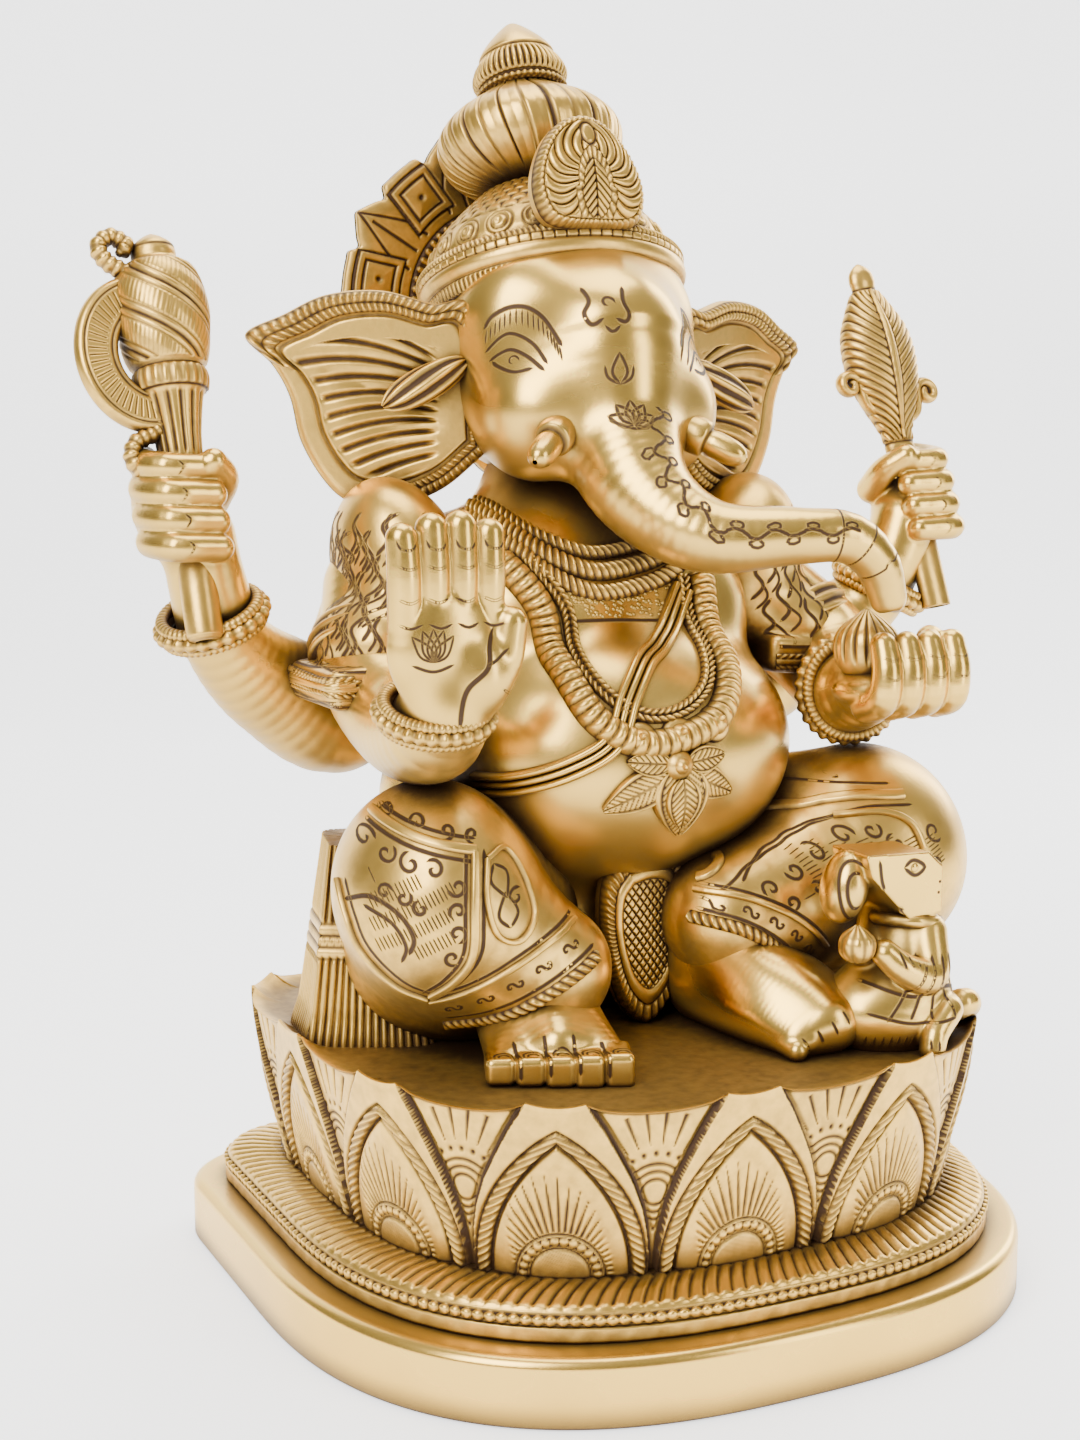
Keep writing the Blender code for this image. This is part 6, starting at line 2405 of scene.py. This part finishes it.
def make_sweets():
    body = piece("modak")
    profile = [
        (-7.6, 1.0), (-7.0, 4.4), (-4, 7.0), (0, 7.6), (3.0, 6.8), (5.4, 4.4), (7.0, 2.2),
        (8.2, 0.5)
    ]

    def pleats(w, d, r):
        t = np.mod(w / TAU * 16 + 0.02 * d, 1.0)
        cut = np.exp(-(((t - 0.5) / 0.14) ** 2)) * smoothstep(d, -5, -1)
        return 0.3 - 0.6 * cut * np.clip(r / 6, 0.2, 1), np.clip(cut, 0, 1)

    lathe(body, (50, -22, 152), (50, -22, 153), profile, pleats, across=220, along=70)
    body.make()
    body = piece("mouse_sweet")
    small = [(d * 0.53, r * 0.55) for d, r in profile]
    lathe(
        body, (29, -51, 88.5), (29, -51, 89.5), small, lambda w, d,
        r: (0.1 * np.cos(w * 9), np.clip(-0.6 * np.cos(w * 9), 0, 1)), across=120, along=50
    )
    body.make()


def make_mouse():
    body = piece("mouse", "polished_brass")
    melt(body, MOUSE, (20, -63, 61), (80, -2, 112), 0.5)
    face = front(body, MOUSE)
    hoop(body, (47.8, -43.5, 90.6), (0.12, 0.12, 1), 7.3, 1.3, 1.5, ruffle(8, 0.1), across=16)
    face.line([(41.5, 104.6), (44, 106.2), (47.2, 104.4), (44.6, 102.6), (41.5, 104.6)], 0.5)
    face.bump(44.4, 104.4, 1.1, 0.5, 0.0, 14, 5)
    for r in (1.0, 0.62):
        ring = [
            (
                30.6 + 3.6 * r * math.cos(t), 99.8 + 6.6 * r * math.sin(t)
            ) for t in np.linspace(-2.2, 2.2, 14)
        ]
        face.line([(61.2 - a, b) for a, b in ring], 0.5)
    face.line([(34.8, 107), (36.4, 100), (42.5, 93.6)], 0.5)
    for a, b in ((51.3, 98.0), (51.6, 100.5)):
        face.bump(a, b, 0.5, 0.2, 0.9, 8, 3)
    for a in (37.2, 39.2, 41.0):
        face.line([(a, 87.0), (a + 1.2, 82.5)], 0.4)
    for k in range(5):
        face.line([(36 + 5.2 * k, 70), (41 + 3.4 * k, 77), (44.6 + 2.3 * k, 85)], 0.45)
    face.line([(33, 78.5), (42, 75.5), (52, 76.5), (59, 74)], 0.55)
    face.line([(32, 72), (42, 69.5), (52, 70.5)], 0.45)
    for k in range(9):
        face.line([(32.5 + 1.7 * k, 66.5), (32.9 + 1.6 * k, 63.2)], 0.35)
    return body.make()


# ------------------------------------------------------------------ everything, then camera and light

make_plate()
make_moulding()
make_lotus()
make_torso()
make_head()
for one_side in (-1, 1):
    make_ear(one_side)
    make_ear_leaf(one_side)
    make_tusk(one_side)
    make_leg(one_side)
    make_foot(one_side)
    make_drape(one_side)
    make_shawl(one_side)
    make_rear_arm(one_side)
make_pleat()
make_palm_arm()
make_bowl_arm()
make_mace()
make_axe()
make_leaf_bud()
make_bracelets()
make_band()
make_dome()
make_bun()
make_finial()
make_plaque()
make_halo()
make_thread()
make_necklace()
make_choker()
make_pendant()
make_sweets()
make_mouse()


# ------------------------------------------------------------------ studio, in metres

FLOOR_FRONT, FLOOR_HALF_WIDTH, FLOOR_LEVEL = 1.6, 2.2, -0.0002
WALL_DISTANCE, WALL_TOP, COVE_RADIUS, COVE_STEPS = 1.2, 2.2, 0.4, 24
VIEW_TURN = math.radians(-25.9)
PAPER_GLOW = 1.5


def pale_floor():
    """A paper sweep: flat floor, rounded cove and upright wall behind the figure."""
    mesh = bpy.data.meshes.new("studio_floor")
    cove = []
    for k in range(COVE_STEPS + 1):
        t = 0.5 * math.pi * k / COVE_STEPS
        cove.append((
            WALL_DISTANCE - COVE_RADIUS + COVE_RADIUS * math.sin(t),
            COVE_RADIUS * (1 - math.cos(t)) + FLOOR_LEVEL,
        ))
    profile = [(-FLOOR_FRONT, FLOOR_LEVEL)] + cove + [(WALL_DISTANCE, WALL_TOP)]
    points = [(x, y, h) for y, h in profile for x in (-FLOOR_HALF_WIDTH, FLOOR_HALF_WIDTH)]
    faces = [(2 * k, 2 * k + 1, 2 * k + 3, 2 * k + 2) for k in range(len(profile) - 1)]
    mesh.from_pydata(points, [], faces)
    mesh.shade_smooth()
    made = bpy.data.objects.new("studio_floor", mesh)
    bpy.context.scene.collection.objects.link(made)
    made.rotation_euler = (0, 0, VIEW_TURN)
    material = bpy.data.materials.new("studio_paper")
    material.use_nodes = True
    shader = material.node_tree.nodes["Principled BSDF"]
    shader.inputs["Base Color"].default_value = (0.93, 0.93, 0.93, 1)
    shader.inputs["Roughness"].default_value = 0.9
    shader.inputs["Emission Color"].default_value = (1, 1, 1, 1)
    shader.inputs["Emission Strength"].default_value = PAPER_GLOW
    mesh.materials.append(material)
    made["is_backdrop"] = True


def softbox(name, place, target, size, power, colour=(1, 1, 1)):
    light = bpy.data.lights.new(name, "AREA")
    light.shape = "RECTANGLE"
    light.size, light.size_y = size
    light.energy = power
    light.color = colour
    made = bpy.data.objects.new(name, light)
    bpy.context.scene.collection.objects.link(made)
    made.location = place
    made.rotation_euler = (Vector(target) - Vector(place)).to_track_quat("-Z", "Y").to_euler()
    return made


CAMERA_PLACE = (-0.230175, -0.422225, 0.2044)
CAMERA_AIM = (0.43222663, 0.89013562, -0.1443562)
CAMERA_LENS, SENSOR_HEIGHT = 51.28, 36.0


def make_camera():
    camera = bpy.data.cameras.new("camera")
    camera.sensor_fit = "VERTICAL"
    camera.sensor_height = SENSOR_HEIGHT
    camera.lens = CAMERA_LENS
    camera.clip_start = 0.01
    made = bpy.data.objects.new("camera", camera)
    bpy.context.scene.collection.objects.link(made)
    made.location = CAMERA_PLACE
    made.rotation_euler = Vector(CAMERA_AIM).to_track_quat("-Z", "Y").to_euler()
    bpy.context.scene.camera = made


def make_world():
    world = bpy.data.worlds.new("studio")
    world.use_nodes = True
    tree = world.node_tree
    back = tree.nodes["Background"]
    place = node(tree, "ShaderNodeTexCoord")
    split = node(tree, "ShaderNodeSeparateXYZ")
    tree.links.new(place.outputs["Generated"], split.inputs[0])
    ramp = node(tree, "ShaderNodeValToRGB")
    ramp.color_ramp.elements[0].position = 0.0
    ramp.color_ramp.elements[0].color = (0.05, 0.042, 0.035, 1)
    ramp.color_ramp.elements[1].position = 1.0
    ramp.color_ramp.elements[1].color = (0.70, 0.70, 0.70, 1)
    level = ramp.color_ramp.elements.new(0.5)
    level.color = (0.17, 0.165, 0.16, 1)
    half = node(tree, "ShaderNodeMath", operation="MULTIPLY_ADD")
    half.inputs[1].default_value = 0.5
    half.inputs[2].default_value = 0.5
    tree.links.new(split.outputs[2], half.inputs[0])
    tree.links.new(half.outputs[0], ramp.inputs["Fac"])
    tree.links.new(ramp.outputs["Color"], back.inputs["Color"])
    back.inputs["Strength"].default_value = 0.85
    bpy.context.scene.world = world


pale_floor()
make_camera()
make_world()
softbox("key", (-0.80, -0.55, 0.80), (0, 0, 0.14), (0.6, 0.9), 18.0)
softbox("fill", (0.55, -0.95, 0.40), (0, 0, 0.14), (0.30, 0.8), 4.6)
softbox("top", (0.1, 0.1, 1.1), (0, 0, 0.15), (0.7, 0.7), 8.5)
softbox("rim", (0.9, 0.35, 0.6), (0, 0, 0.15), (0.3, 0.8), 5.0)

VISUAL_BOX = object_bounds()
[[list(map(float, corner)) for corner in pair_of] for pair_of in (CAD_BOX, VISUAL_BOX)]
